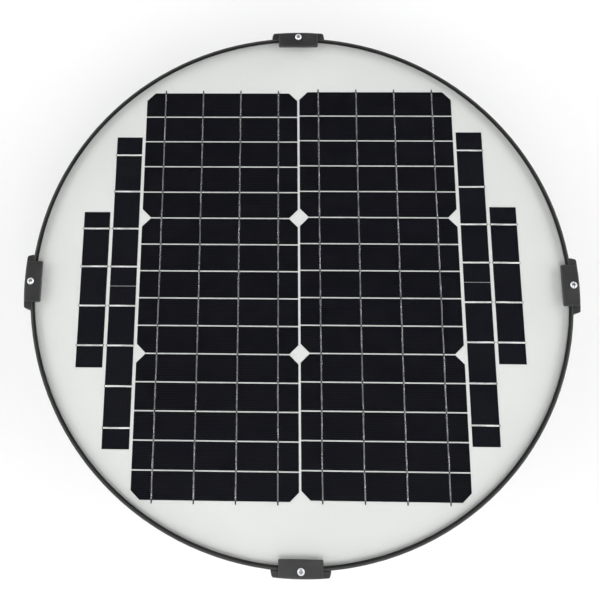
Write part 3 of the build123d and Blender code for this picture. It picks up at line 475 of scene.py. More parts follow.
@dataclass(frozen=True)
class ClearPane(Finish):
    """Clear sheet that mirrors a little and lets the rest through.

    Attributes:
        index: Index of refraction that sets the mirroring.
        clarity: What the sheet lets through, by colour.
        smear: How much rougher wiped patches are.
    """

    index: float = 1.5
    clarity: Colour = (0.982, 0.985, 0.982)
    smear: float = 0.05

    def make(self, effects: SharedEffects) -> Material:
        """Build the material from a see-through shader and a mirror weighed by Fresnel.

        Args:
            effects: Groups shared by the finishes.

        Returns:
            The finished material.
        """
        material, graph, shader = self.open()
        output = shader.outputs[0].links[0].to_node
        graph.tree.nodes.remove(shader)
        through = graph.add("ShaderNodeBsdfTransparent", {"Color": rgba(self.clarity)})
        cloud = graph.noise(graph.place(), 14.0, 5.0)
        wiped = graph.span(cloud, 0.35, 0.7, self.roughness, self.roughness + self.smear)
        colour = rgba(self.colour)
        mirror = graph.add("ShaderNodeBsdfGlossy", {"Color": colour, "Roughness": wiped})
        fresnel = graph.add("ShaderNodeFresnel", {"IOR": self.index}).outputs[0]
        inner = graph.add("ShaderNodeNewGeometry").outputs["Backfacing"]
        weight = graph.times(fresnel, graph.maths("SUBTRACT", 1.0, inner))
        layers = {0: weight, 1: through.outputs[0], 2: mirror.outputs[0]}
        mixed = graph.add("ShaderNodeMixShader", layers)
        graph.feed(output.inputs["Surface"], mixed.outputs[0])
        return material


@dataclass(frozen=True)
class Backing(Finish):
    """White polymer sheet behind the cells, with a faint weave.

    Attributes:
        mottled: Colour that the slow mottle leads to.
        rim_colour: Darker colour that the backing is painted towards its rim.
        rim: Radii between which the backing darkens towards its rim, in metres.
        weave: Waves of the weave in a metre, times a full turn.
    """

    mottled: Colour = (0.73, 0.736, 0.728)
    rim_colour: Colour = (0.68, 0.688, 0.68)
    rim: tuple[float, float] = (225 * MM, 262 * MM)
    weave: float = 4200.0

    def make(self, effects: SharedEffects) -> Material:
        """Build the material.

        Args:
            effects: Groups shared by the finishes.

        Returns:
            The finished material.
        """
        material, graph, shader = self.open()
        place = graph.place()
        parts = graph.split(place)
        radius = graph.scalar("LENGTH", graph.vector("MULTIPLY", place, LEVEL))
        mottle = graph.span(graph.noise(place, 12.0, 5.0), 0.3, 0.7)
        colour = graph.mix(mottle, rgba(self.colour), rgba(self.mottled))
        # The backing is painted darker towards its rim.
        rim_darkening = graph.times(graph.span(radius, *self.rim), 0.35)
        graph.feed(shader.inputs["Base Color"], graph.mix(rim_darkening, colour, rgba(self.rim_colour)))
        threads = (graph.maths("SINE", graph.times(parts[axis.value], self.weave)) for axis in Axis)
        self.relief(graph, shader, graph.times(*threads), 0.02 * MM)
        return material


@dataclass(frozen=True)
class SiliconCell(Finish):
    """Black silicon with fine printed fingers.

    Attributes:
        fingers: Direction in which the printed fingers run.
        pitch: Distance between fingers, in metres.
        strip: Distance between cut strips, in metres.
        tinge: Colour that the strips differ by.
        crystal: Colour of the faint crystal blotches.
        ink: Colour of the fingers.
    """

    fingers: Axis = Axis.X
    pitch: float = 1.9 * MM
    strip: float = 27.33 * MM
    tinge: Colour = (0.0024, 0.0026, 0.0065)
    crystal: Colour = (0.0050, 0.0050, 0.0080)
    ink: Colour = (0.030, 0.031, 0.038)

    def make(self, effects: SharedEffects) -> Material:
        """Build the material.

        Args:
            effects: Groups shared by the finishes.

        Returns:
            The finished material.
        """
        material, graph, shader = self.open(f"{self.slot}_{self.fingers.name.lower()}")
        place = graph.place()
        parts = graph.split(place)
        across = parts[1 - self.fingers.value]
        wave = graph.maths("COSINE", graph.times(across, FULL_TURN / self.pitch))
        finger = graph.span(wave, 0.80, 0.98)
        order = graph.maths("FLOOR", graph.maths("DIVIDE", parts[1], self.strip))
        strip = graph.join(order, graph.maths("SIGN", parts[0]))
        tone = graph.add("ShaderNodeTexWhiteNoise", {"Vector": strip}).outputs[0]
        cloud = graph.span(graph.noise(place, 60.0, 6.0), 0.35, 0.7)
        colour = graph.mix(graph.times(tone, 0.6), rgba(self.colour), rgba(self.tinge))
        colour = graph.mix(graph.times(cloud, 0.45), colour, rgba(self.crystal))
        colour = graph.mix(graph.times(finger, 0.55), colour, rgba(self.ink))
        graph.feed(shader.inputs["Base Color"], colour)
        graph.feed(shader.inputs["Roughness"], graph.span(cloud, 0.0, 1.0, 0.38, 0.52))
        shader.inputs["Specular IOR Level"].default_value = 0.06
        self.relief(graph, shader, finger, 0.01 * MM)
        return material


@dataclass(frozen=True)
class SolderedRibbon(Finish):
    """Tinned copper ribbon, wiped with solder; its broken gleaming spots are partly painted glints.

    Attributes:
        run: Direction in which the ribbons run.
        pitch: Distance between the gaps that column ribbons cross, in metres.
        shift: How far the gaps sit up on the right and down on the left.
        crossing: Middle of the gap that side ribbons cross.
        dulling: How bright dull solder runs are against bright ones, partly painted glints.
        reach: Where the outermost cell ends, on either run.
        gap_shade: Painted shade in the gaps that a ribbon crosses, and past the last cell.
        wiped: Colour of a side ribbon in its gap.
    """

    run: Axis = Axis.Y
    pitch: float = 27.33 * MM
    shift: float = 0.75 * MM
    crossing: float = 188.85 * MM
    dulling: float = 0.42
    reach: float = 204.3 * MM
    gap_shade: Colour = (0.045, 0.045, 0.05)
    wiped: Colour = (0.66, 0.67, 0.66)

    def make(self, effects: SharedEffects) -> Material:
        """Build the material: dull and bright solder runs, partly painted glints, and painted gap
        shade.

        Args:
            effects: Groups shared by the finishes.

        Returns:
            The finished material.
        """
        material, graph, shader = self.open(f"{self.slot}_{self.run.name.lower()}")
        place = graph.place()
        parts = graph.split(place)
        # Dull and bright solder runs: real solder texture, with painted glints in the bright runs'
        # colour.
        solder = graph.span(graph.noise(place, 90.0, 4.0), 0.38, 0.62)
        bead = graph.span(graph.noise(place, 420.0, 3.0), 0.40, 0.60)
        dull = tuple(self.dulling * part for part in self.colour)
        colour = graph.mix(solder, rgba(dull), rgba(self.colour))
        along = graph.maths("ABSOLUTE", parts[self.run.value])
        if self.run is Axis.Y:
            side = graph.times(graph.maths("SIGN", parts[0]), self.shift)
            rise = graph.maths("DIVIDE", graph.maths("SUBTRACT", parts[1], side), self.pitch)
            turns = graph.maths("SUBTRACT", rise, 0.5)
            off = graph.maths("SUBTRACT", turns, graph.maths("ROUND", turns))
            # Painted shade where the column ribbon crosses a gap between cells.
            dark = graph.span(graph.maths("ABSOLUTE", off), 0.045, 0.02)
        else:
            off = graph.maths("ABSOLUTE", graph.maths("SUBTRACT", along, self.crossing))
            pale = graph.span(off, 1.3 * MM, 1.0 * MM)
            colour = graph.mix(pale, colour, rgba(self.wiped))
            bare = graph.span(pale, 0.0, 1.0, self.metallic, 0.0)
            graph.feed(shader.inputs["Metallic"], bare)
            # Painted shade at the edges of the gap that the side ribbon crosses.
            dark = graph.maths("SUBTRACT", graph.span(off, 2.2 * MM, 1.8 * MM), pale)
        # Painted shade on the ribbon past the outermost cell.
        tip = graph.span(along, self.reach, self.reach + 0.2 * MM)
        dark = graph.maths("MAXIMUM", dark, tip)
        graph.feed(shader.inputs["Base Color"], graph.mix(dark, colour, rgba(self.gap_shade)))
        rough = graph.maths("ADD", graph.times(solder, -0.22), self.roughness + 0.12)
        graph.feed(shader.inputs["Roughness"], rough)
        self.relief(graph, shader, bead, 0.12 * MM)
        return material


@dataclass(frozen=True)
class Windings(Finish):
    """Enamelled copper wire laid in turns.

    Attributes:
        wire: Distance between turns, in metres.
        groove_tone: Colour towards the grooves between turns.
        glow: Colour of the paler patches.
    """

    wire: float = 0.7 * MM
    groove_tone: Colour = (0.12, 0.035, 0.012)
    glow: Colour = (0.55, 0.2, 0.07)

    def make(self, effects: SharedEffects) -> Material:
        """Build the material.

        Args:
            effects: Groups shared by the finishes.

        Returns:
            The finished material.
        """
        material, graph, shader = self.open()
        place = graph.place()
        wave = graph.maths("SINE", graph.times(graph.split(place)[2], math.pi / self.wire))
        turns = graph.maths("ABSOLUTE", wave)
        # Darker towards the grooves between turns, the wire's own colour on the crests.
        crest = graph.span(turns, 0.1, 0.7)
        colour = graph.mix(crest, rgba(self.groove_tone), rgba(self.colour))
        patch = graph.times(graph.noise(place, 120.0), 0.3)
        graph.feed(shader.inputs["Base Color"], graph.mix(patch, colour, rgba(self.glow)))
        self.relief(graph, shader, turns, 0.2 * MM)
        return material


@dataclass(frozen=True)
class Laminations(Finish):
    """Stack of varnished steel sheets.

    Attributes:
        sheet: Thickness of a sheet, in metres.
        heated: Colour of the heat tint.
        seam: Colour between sheets.
    """

    sheet: float = 0.5 * MM
    heated: Colour = (0.16, 0.13, 0.12)
    seam: Colour = grey(0.02, 0.002)

    def make(self, effects: SharedEffects) -> Material:
        """Build the material.

        Args:
            effects: Groups shared by the finishes.

        Returns:
            The finished material.
        """
        material, graph, shader = self.open()
        place = graph.place()
        wave = graph.maths("SINE", graph.times(graph.split(place)[2], math.pi / self.sheet))
        sheets = graph.maths("ABSOLUTE", wave)
        tint = graph.span(graph.noise(place, 70.0, 4.0), 0.35, 0.65)
        colour = graph.mix(tint, rgba(self.colour), rgba(self.heated))
        face = graph.span(sheets, 0.0, 0.35)
        graph.feed(shader.inputs["Base Color"], graph.mix(face, rgba(self.seam), colour))
        self.relief(graph, shader, sheets, 0.08 * MM)
        return material


@dataclass(frozen=True)
class Zinc(Finish):
    """Hot-dip zinc with its crystals, white bloom and rubbed edges.

    Attributes:
        crystals: Crystals in a metre.
        shade: How bright the darkest crystal is against the palest.
        bloom: Colour of the white bloom.
        rubbed: Colour of rubbed edges.
    """

    crystals: float = 110.0
    shade: float = 0.62
    bloom: Colour = (0.6, 0.62, 0.62)
    rubbed: Colour = grey(0.8)

    def make(self, effects: SharedEffects) -> Material:
        """Build the material.

        Args:
            effects: Groups shared by the finishes.

        Returns:
            The finished material.
        """
        material, graph, shader = self.open()
        place = graph.place()
        cells = {"Vector": place, "Scale": self.crystals, "Randomness": 1.0}
        spangle = graph.add("ShaderNodeTexVoronoi", cells).outputs["Color"]
        tone = graph.add("ShaderNodeSeparateColor", {0: spangle}).outputs[0]
        worn = graph.group(effects.wear, {"Amount": 0.5}).outputs
        dark = tuple(self.shade * part for part in self.colour)
        colour = graph.mix(tone, rgba(dark), rgba(self.colour))
        cloud = graph.span(graph.noise(place, 25.0, 6.0), 0.5, 0.75, 0.0, 0.4)
        colour = graph.mix(cloud, colour, rgba(self.bloom))
        colour = graph.mix(worn["Mask"], colour, rgba(self.rubbed))
        graph.feed(shader.inputs["Base Color"], colour)
        rough = graph.span(tone, 0.0, 1.0, self.roughness - 0.08, self.roughness + 0.12)
        graph.feed(shader.inputs["Roughness"], rough)
        self.relief(graph, shader, graph.noise(place, 700.0, 2.0), 0.02 * MM, worn["Normal"])
        return material


@dataclass(frozen=True)
class CircuitBoard(Finish):
    """Green varnished board with tinned tracks under the varnish.

    Attributes:
        tracks: Colour of the tracks.
        cells: Cells of the track pattern in a metre.
    """

    tracks: Colour = (0.05, 0.22, 0.08)
    cells: float = 330.0

    def make(self, effects: SharedEffects) -> Material:
        """Build the material.

        Args:
            effects: Groups shared by the finishes.

        Returns:
            The finished material.
        """
        material, graph, shader = self.open()
        inputs = {"Vector": graph.place(), "Scale": self.cells}
        cells = graph.add("ShaderNodeTexVoronoi", inputs, distance="CHEBYCHEV")
        track = graph.span(cells.outputs["Distance"], 0.42, 0.46)
        colour = graph.mix(track, rgba(self.colour), rgba(self.tracks))
        graph.feed(shader.inputs["Base Color"], colour)
        self.relief(graph, shader, track, 0.04 * MM)
        return material


def plastics() -> list[Finish]:
    """Moulded finishes.

    Returns:
        Plastics and rubbers of the object.
    """
    moulded = Skin.MOULDED
    return [
        # Its outer band carries the painted highlight of EdgeRubber.
        EdgeRubber(
            "gasket_rubber", grey(0.004, 0.0005), 0.50, skin=moulded, tint=grey(0.007, 0.0005),
            bare=grey(0.035, 0.001), wear=0.2, dust=0.05, grain=2200.0, depth=0.02 * MM, sheen=0.12,
        ),
        Worked(
            "clamp_plastic", grey(0.011, 0.002), 0.42, skin=moulded, tint=grey(0.019, 0.002),
            bare=grey(0.09, 0.005), wear=0.60, dust=0.10, grain=800.0, depth=0.20 * MM,
            bevel=1.2 * MM, sheen=0.34,
        ),
        Worked(
            "lead_jacket", grey(0.012, 0.001), 0.42, skin=moulded, tint=grey(0.018, 0.001),
            bare=grey(0.03), wear=0.1, dust=0.15, depth=0.03 * MM,
        ),
        Worked(
            "box_plastic", grey(0.016, 0.001), 0.48, skin=moulded, tint=grey(0.024, 0.001),
            bare=grey(0.07), wear=0.35, dust=0.15, grain=1400.0, depth=0.06 * MM,
        ),
        Worked(
            "terminal_plastic", (0.42, 0.43, 0.41), 0.45, skin=moulded, tint=(0.48, 0.48, 0.46),
            bare=(0.55, 0.55, 0.53), wear=0.2, dust=0.05, depth=0.04 * MM,
        ),
        Worked(
            "diode_body", grey(0.012, 0.001), 0.38, skin=moulded, tint=grey(0.02),
            bare=grey(0.4), wear=0.2, dust=0.0, grain=1800.0, depth=0.03 * MM,
        ),
    ]


def coatings() -> list[Finish]:
    """Finishes of coated sheet and of castings.

    Returns:
        Powder coats, painted castings and other rough skins.
    """
    return [
        Worked(
            "bracket_steel", (0.020, 0.021, 0.022), 0.44, tint=(0.032, 0.033, 0.034),
            bare=grey(0.22), wear=0.45, dust=0.30, grain=1300.0, depth=0.06 * MM,
        ),
        Worked(
            "hood_coating", (0.022, 0.023, 0.025), 0.40, tint=(0.033, 0.034, 0.036),
            bare=grey(0.20), wear=0.40, dust=0.25, grain=1150.0, depth=0.06 * MM,
        ),
        Worked(
            "flashing_coating", (0.024, 0.025, 0.027), 0.43, tint=(0.036, 0.037, 0.039),
            bare=grey(0.22), wear=0.45, dust=0.35, grain=1150.0, depth=0.06 * MM,
        ),
        Worked(
            "screen_wire", (0.42, 0.43, 0.44), 0.40, 0.9, skin=Skin.CAST, tint=(0.30, 0.31, 0.32),
            bare=grey(0.7), wear=0.3, dust=0.2, grain=1800.0, depth=0.02 * MM,
        ),
        Worked(
            "motor_casting", (0.030, 0.031, 0.033), 0.50, skin=Skin.CAST,
            tint=(0.050, 0.051, 0.054), bare=grey(0.42), wear=0.55, dust=0.25, grain=800.0,
            depth=0.10 * MM,
        ),
        Worked(
            "magnet", grey(0.10, 0.005), 0.35, 0.6, skin=Skin.CAST, tint=grey(0.16, 0.005),
            bare=grey(0.35), wear=0.4, dust=0.0, grain=1600.0, depth=0.03 * MM,
        ),
        Worked(
            "spider_steel", (0.46, 0.47, 0.48), 0.36, 0.95, skin=Skin.CAST,
            tint=(0.36, 0.37, 0.38), bare=grey(0.75), wear=0.4, dust=0.15, grain=900.0,
            depth=0.03 * MM,
        ),
    ]


def metals() -> list[Finish]:
    """Finishes of turned and rolled metal.

    Returns:
        Bare metals that show the tool's streaks.
    """
    turned = Skin.TURNED
    return [
        Worked(
            "zinc_steel", (0.58, 0.59, 0.61), 0.34, 1.0, skin=turned, tint=(0.50, 0.51, 0.53),
            bare=grey(0.85, 0.01), wear=0.5, dust=0.03, grain=1600.0, depth=0.02 * MM,
        ),
        Worked(
            "rivet_aluminium", (0.60, 0.61, 0.62), 0.36, 1.0, skin=turned, tint=(0.48, 0.49, 0.50),
            bare=grey(0.8), wear=0.4, dust=0.12, grain=900.0, depth=0.03 * MM,
        ),
        Worked(
            "bearing_steel", grey(0.52, 0.01), 0.18, 1.0, skin=turned, tint=grey(0.42, 0.01),
            bare=grey(0.8), wear=0.2, dust=0.0, grain=2500.0, depth=0.01 * MM,
        ),
        Worked(
            "hub_aluminium", (0.58, 0.59, 0.60), 0.30, 1.0, skin=turned, tint=(0.46, 0.47, 0.48),
            bare=grey(0.82), wear=0.3, dust=0.10, depth=0.03 * MM,
        ),
        Worked(
            "blade_aluminium", (0.62, 0.63, 0.64), 0.34, 1.0, skin=turned, tint=(0.50, 0.51, 0.52),
            bare=grey(0.84), wear=0.4, dust=0.22, grain=1300.0, depth=0.03 * MM,
        ),
    ]


def patterned() -> list[Finish]:
    """Finishes with a pattern of their own.

    Returns:
        Panel layers, zinc sheet and the motor's inner parts.
    """
    white = (0.77, 0.775, 0.768)
    return [
        ClearPane("solar_glass", grey(1.0), 0.01),
        Backing("encapsulant", white, 0.55),
        Backing("backsheet_white", white, 0.55),
        SiliconCell("silicon_cell", (0.0030, 0.0031, 0.0052), 0.45),
        # Side ribbons: the same tinned ribbon painted near white with little metal, a painted
        # highlight for the light they catch.
        SolderedRibbon(
            "tinned_ribbon", grey(0.96), 0.26, 0.12, run=Axis.X, reach=216.8 * MM, dulling=0.62
        ),
        Zinc("galvanised_sheet", (0.55, 0.57, 0.58), 0.36, 0.9),
        Laminations("core_steel", grey(0.20, 0.01), 0.42, 0.8),
        Windings("coil_copper", (0.42, 0.13, 0.045), 0.30, 0.8),
        CircuitBoard("circuit_board", (0.012, 0.085, 0.030), 0.32),
    ]


class Palette:
    """Every finish of the object, built once and looked up by slot."""

    def __init__(self, effects: SharedEffects) -> None:
        """Build the finishes.

        Args:
            effects: Groups shared by the finishes.
        """
        finishes = patterned() + plastics() + coatings() + metals()
        self.by_slot = {finish.slot: finish.make(effects) for finish in finishes}
        side = SiliconCell("silicon_cell", (0.0060, 0.0062, 0.0095), 0.45, fingers=Axis.Y)
        self.side_cell = side.make(effects)
        ribbon = SolderedRibbon("tinned_ribbon", grey(0.50, 0.03), 0.28, 0.85)
        self.column_ribbon = ribbon.make(effects)

    @staticmethod
    def put(piece: Piece, material: Material) -> None:
        """Give every material slot of a piece one material.

        Args:
            piece: Object that is dressed.
            material: What it wears.
        """
        if not piece.material_slots:
            piece.data.materials.append(material)
        for slot in piece.material_slots:
            slot.material = material


# ------------------------------------------------------------------ geometry trees


class GeometryTree:
    """A Geometry Nodes tree with named inputs, and what applies it."""

    def __init__(self, name: str, inputs: dict[str, str]) -> None:
        """Start the tree.

        Args:
            name: Name of the tree.
            inputs: Socket type of each input after the geometry.
        """
        self.tree = bpy.data.node_groups.new(name, "GeometryNodeTree")
        face = self.tree.interface
        for title, kind in {"Geometry": GEOMETRY, **inputs, "Material": MATERIAL}.items():
            face.new_socket(title, in_out="INPUT", socket_type=kind)
        face.new_socket("Geometry", in_out="OUTPUT", socket_type=GEOMETRY)
        self.graph = Graph(self.tree)
        self.given = self.graph.add("NodeGroupInput").outputs

    def grow(self, kind: str, inputs: Feeds | None = None, **settings: Any) -> Socket:
        """First output of a new geometry node."""
        return self.graph.add(f"GeometryNode{kind}", inputs, **settings).outputs[0]

    def finish(self, geometry: Socket) -> None:
        """End the tree in smooth faces, real instances and the material.

        Args:
            geometry: What the tree has made.
        """
        smooth = self.grow("SetShadeSmooth", {"Geometry": geometry})
        real = self.grow("RealizeInstances", {"Geometry": smooth})
        dressed = {"Geometry": real, "Material": self.given["Material"]}
        self.graph.add("NodeGroupOutput", {0: self.grow("SetMaterial", dressed)})

    def apply(self, name: str, source: Mesh, values: dict[str, Any]) -> Piece:
        """Run the tree on a mesh and keep the result as a plain mesh.

        Args:
            name: Name of the new piece.
            source: Mesh that the tree starts from.
            values: Value of each named input.

        Returns:
            An object at the origin that holds the finished mesh.
        """
        carrier = bpy.data.objects.new(f"{name}_source", source)
        bpy.context.scene.collection.objects.link(carrier)
        modifier = carrier.modifiers.new("tree", "NODES")
        modifier.node_group = self.tree
        for item in self.tree.interface.items_tree:
            if item.in_out == "INPUT" and item.name in values:
                modifier[item.identifier] = values[item.name]
        carrier.update_tag()
        graph = bpy.context.evaluated_depsgraph_get()
        mesh = bpy.data.meshes.new_from_object(
            carrier.evaluated_get(graph), preserve_all_data_layers=True, depsgraph=graph
        )
        mesh.name = name
        bpy.data.objects.remove(carrier, do_unlink=True)
        piece = bpy.data.objects.new(name, mesh)
        bpy.context.scene.collection.objects.link(piece)
        return piece


def edges_mesh(name: str, lines: Iterable[tuple[Sequence[float], Sequence[float]]]) -> Mesh:
    """Mesh of loose edges.

    Args:
        name: Name of the mesh.
        lines: Start and end of each edge, in metres.

    Returns:
        The mesh.
    """
    points = [point for line in lines for point in line]
    pairs = [(first, first + 1) for first in range(0, len(points), 2)]
    mesh = bpy.data.meshes.new(name)
    mesh.from_pydata(points, pairs, [])
    return mesh


def stand_in(piece: Piece, node: str) -> Piece:
    """Let a piece of the housing stand for a CAD node.

    Args:
        piece: New piece.
        node: CAD node that it replaces.

    Returns:
        The same piece.
    """
    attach(piece, "housing")
    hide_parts(node)
    return piece


# ------------------------------------------------------------------ the object


@dataclass
class SolderRibbons:
    """Ribbons soldered over the cells, slightly wavy as they are laid by hand.

    Attributes:
        width: Width of a ribbon on the columns.
        side_width: Width of a ribbon on the side cells.
        trim: How much shorter side ribbons are than their stubs in the CAD model.
        thickness: Thickness of a ribbon.
        sway: How far a ribbon wanders sideways.
        lift: How far it wanders up and down.
        step: Distance between the points of its line.
        apart: Least distance between two ribbons.
        wander: Cells of the wander in a metre.
        rounding: Radius of a ribbon's long edges, in thicknesses.
    """

    width: float = 1.2 * MM
    side_width: float = 1.6 * MM
    trim: float = 2.2 * MM
    thickness: float = 0.16 * MM
    sway: float = 0.9 * MM
    lift: float = 0.05 * MM
    step: float = 2.2 * MM
    apart: float = 3.0 * MM
    wander: float = 45.0
    rounding: float = 0.45

    def grow(self) -> GeometryTree:
        """Build the tree that turns edges into flattened, wandering ribbons.

        Returns:
            The tree, with its sizes as named inputs.
        """
        names = ("Width", "Thickness", "Step", "Sway", "Lift", "Seed")
        made = GeometryTree("solder_ribbon", dict.fromkeys(names, FLOAT))
        graph, given = made.graph, made.given
        curve = made.grow("MeshToCurve", {"Mesh": given["Geometry"]})
        steps = {"Curve": curve, "Length": given["Step"]}
        points = made.grow("ResampleCurve", steps, mode="LENGTH")
        cells = {
            "Vector": made.grow("InputPosition"),
            "W": given["Seed"],
            "Scale": self.wander,
            "Detail": 2.0,
        }
        drift = graph.add("ShaderNodeTexNoise", cells, noise_dimensions="4D").outputs["Color"]
        centred = graph.vector("SUBTRACT", drift, (0.5, 0.5, 0.5))
        reach = graph.join(given["Sway"], given["Sway"], given["Lift"])
        offset = graph.vector("MULTIPLY", centred, reach)
        moved = made.grow("SetPosition", {"Geometry": points, "Offset": offset})
        level = made.grow("SetCurveNormal", {"Curve": moved}, mode="Z_UP")
        sides = {"Width": given["Width"], "Height": given["Thickness"]}
        profile = made.grow("CurvePrimitiveQuadrilateral", sides)
        corner = graph.times(given["Thickness"], self.rounding)
        corners_cut = {"Curve": profile, "Count": 1, "Radius": corner}
        eased = made.grow("FilletCurve", corners_cut, mode="POLY")
        swept = {"Curve": level, "Profile Curve": eased, "Fill Caps": True}
        made.finish(made.grow("CurveToMesh", swept))
        return made

    def lines(self, node: str, run: Axis, trim: float) -> list[tuple[Vector, Vector]]:
        """Middle line of each straight ribbon of a CAD node.

        Args:
            node: Name of the CAD node.
            run: Direction in which its ribbons run.
            trim: How much shorter the ribbon is at its outer end.

        Returns:
            Start and end of each ribbon.
        """
        along, across = run.value, 1 - run.value
        found: list[tuple[Vector, Vector]] = []
        for side in (-1.0, 1.0):
            places = (vertex.co for vertex in frame["nodes"][node].data.vertices)
            half = (co for co in places if co.x * side > 0)
            points = sorted(half, key=lambda co: co[across])
            bar = [points[0]]
            for point in points[1:] + [None]:
                if point is not None and point[across] - bar[-1][across] < self.apart:
                    bar.append(point)
                    continue
                middle = sum(bar, Vector()) / len(bar)
                start, end = middle.copy(), middle.copy()
                start[along] = min(co[along] for co in bar)
                end[along] = max(co[along] for co in bar)
                if run is Axis.X:
                    (end if side > 0 else start)[along] -= side * trim
                found.append((start, end))
                bar = [point]
        return found

    def build(self, palette: Palette) -> list[Piece]:
        """Lay the ribbons of the two columns and of the side cells.

        Args:
            palette: Finishes of the object.

        Returns:
            The two finished pieces.
        """
        tree = self.grow()
        # The side ribbons' finish is painted bright, a painted highlight.
        side_finish = palette.by_slot["tinned_ribbon"]
        rows = (
            ("column", Axis.Y, self.width, 0.0, palette.column_ribbon, 3.0),
            ("side", Axis.X, self.side_width, self.trim, side_finish, 8.0),
        )
        pieces = []
        for place, run, width, trim, material, seed in rows:
            node, name = f"{place}_ribbons", f"{place}_ribbon_strips"
            values = {
                "Width": width,
                "Thickness": self.thickness,
                "Step": self.step,
                "Sway": self.sway,
                "Lift": self.lift,
                "Seed": seed,
                "Material": material,
            }
            piece = tree.apply(name, edges_mesh(name, self.lines(node, run, trim)), values)
            pieces.append(stand_in(piece, node))
        return pieces


@dataclass
class WovenScreen:
    """Ring of woven wire that keeps animals out of the fan.

    Attributes:
        uprights: Number of upright wires.
        hoops: Number of level wires.
        wire: Diameter of a wire.
        sides: Sides of a wire's section.
    """

    uprights: int = 160
    hoops: int = 12
    wire: float = 0.7 * MM
    sides: int = 5

    def _weave(self, made: GeometryTree, curve: Socket, sign: float) -> Socket:
        """Bend wires over and under the crossing ones, and give them a round section.

        Args:
            made: Tree that is being built.
            curve: Middle lines of the wires.
            sign: 1 for uprights, -1 for hoops.

        Returns:
            The wires as a mesh.
        """
        graph, given = made.graph, made.given
        place = made.grow("InputPosition")
        parts = graph.split(place)
        angle = graph.maths("ARCTAN2", parts[1], parts[0])
        round_wave = graph.maths("COSINE", graph.times(angle, graph.times(given["Uprights"], 0.5)))
        rise = graph.times(graph.maths("SUBTRACT", parts[2], given["Bottom"]), math.pi)
        level_wave = graph.maths("SINE", graph.maths("DIVIDE", rise, given["Pitch"]))
        reach = graph.times(given["Wire"], 0.5 * sign)
        swing = graph.times(graph.times(round_wave, level_wave), reach)
        outward = graph.vector("NORMALIZE", graph.vector("MULTIPLY", place, LEVEL))
        scaled = {0: outward, "Scale": swing}
        offset = graph.add("ShaderNodeVectorMath", scaled, operation="SCALE").outputs[0]
        bent = made.grow("SetPosition", {"Geometry": curve, "Offset": offset})
        circle = {"Resolution": self.sides, "Radius": graph.times(given["Wire"], 0.5)}
        section = made.grow("CurvePrimitiveCircle", circle)
        swept = {"Curve": bent, "Profile Curve": section, "Fill Caps": True}
        return made.grow("CurveToMesh", swept)

    @staticmethod
    def _uprights(made: GeometryTree, index: Socket) -> Socket:
        """Stand straight wires in a ring.

        Args:
            made: Tree that is being built.
            index: Number of each wire.

        Returns:
            Their middle lines.
        """
        graph, given = made.graph, made.given
        ends = {
            "Start": graph.join(given["Radius"], 0.0, given["Bottom"]),
            "End": graph.join(given["Radius"], 0.0, given["Top"]),
        }
        line = made.grow("CurvePrimitiveLine", ends)
        count = graph.maths("ADD", graph.times(given["Hoops"], 2.0), 1.0)
        wire = made.grow("ResampleCurve", {"Curve": line, "Count": count}, mode="COUNT")
        turn = graph.maths("DIVIDE", graph.times(index, FULL_TURN), given["Uprights"])
        stands = {
            "Points": made.grow("Points", {"Count": given["Uprights"]}),
            "Instance": wire,
            "Rotation": graph.join(z=turn),
        }
        return made.grow("RealizeInstances", {"Geometry": made.grow("InstanceOnPoints", stands)})

    @staticmethod
    def _hoops(made: GeometryTree, index: Socket) -> Socket:
        """Stack level rings of wire.

        Args:
            made: Tree that is being built.
            index: Number of each ring.

        Returns:
            Their middle lines.
        """
        graph, given = made.graph, made.given
        level = graph.times(graph.maths("ADD", index, 0.5), given["Pitch"])
        height = graph.join(z=graph.maths("ADD", level, given["Bottom"]))
        circle = {"Resolution": graph.times(given["Uprights"], 2.0), "Radius": given["Radius"]}
        levels = {
            "Points": made.grow("Points", {"Count": given["Hoops"], "Position": height}),
            "Instance": made.grow("CurvePrimitiveCircle", circle),
        }
        return made.grow("RealizeInstances", {"Geometry": made.grow("InstanceOnPoints", levels)})

    def build(self, palette: Palette) -> Piece:
        """Weave the ring in place of the plain CAD one.

        Args:
            palette: Finishes of the object.

        Returns:
            The woven ring.
        """
        low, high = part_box("critter_screen")
        names = ("Radius", "Bottom", "Top", "Pitch", "Wire")
        counts = ("Uprights", "Hoops")
        inputs = {**dict.fromkeys(names, FLOAT), **dict.fromkeys(counts, INTEGER)}
        made = GeometryTree("woven_ring", inputs)
        index = made.grow("InputIndex")
        joined = made.graph.add("GeometryNodeJoinGeometry")
        uprights = self._weave(made, self._uprights(made, index), 1.0)
        hoops = self._weave(made, self._hoops(made, index), -1.0)
        made.graph.feed(joined.inputs[0], uprights)
        made.graph.feed(joined.inputs[0], hoops)
        made.finish(joined.outputs[0])
        values = {
            "Radius": high.x - self.wire,
            "Bottom": low.z,
            "Top": high.z,
            "Pitch": (high.z - low.z) / self.hoops,
            "Wire": self.wire,
            "Uprights": self.uprights,
            "Hoops": self.hoops,
            "Material": palette.by_slot["screen_wire"],
        }
        piece = made.apply("woven_screen", edges_mesh("woven_screen", []), values)
        return stand_in(piece, "critter_screen")


@dataclass
class CarriedParts:
    """CAD nodes that keep their shape and get their finish.

    Attributes:
        subparts: Node and slot of each part.
        nodes: Object of each node.
    """

    subparts: list[dict[str, Any]]
    nodes: dict[str, Piece]

    def dress(self, palette: Palette) -> int:
        """Dress every node by its slot.

        Args:
            palette: Finishes of the object.

        Returns:
            How many nodes were dressed.
        """
        for part in self.subparts:
            palette.put(self.nodes[part["node"]], palette.by_slot[part["material_slot"]])
        palette.put(self.nodes["side_cells"], palette.side_cell)
        return len(self.subparts)


# ------------------------------------------------------------------ studio


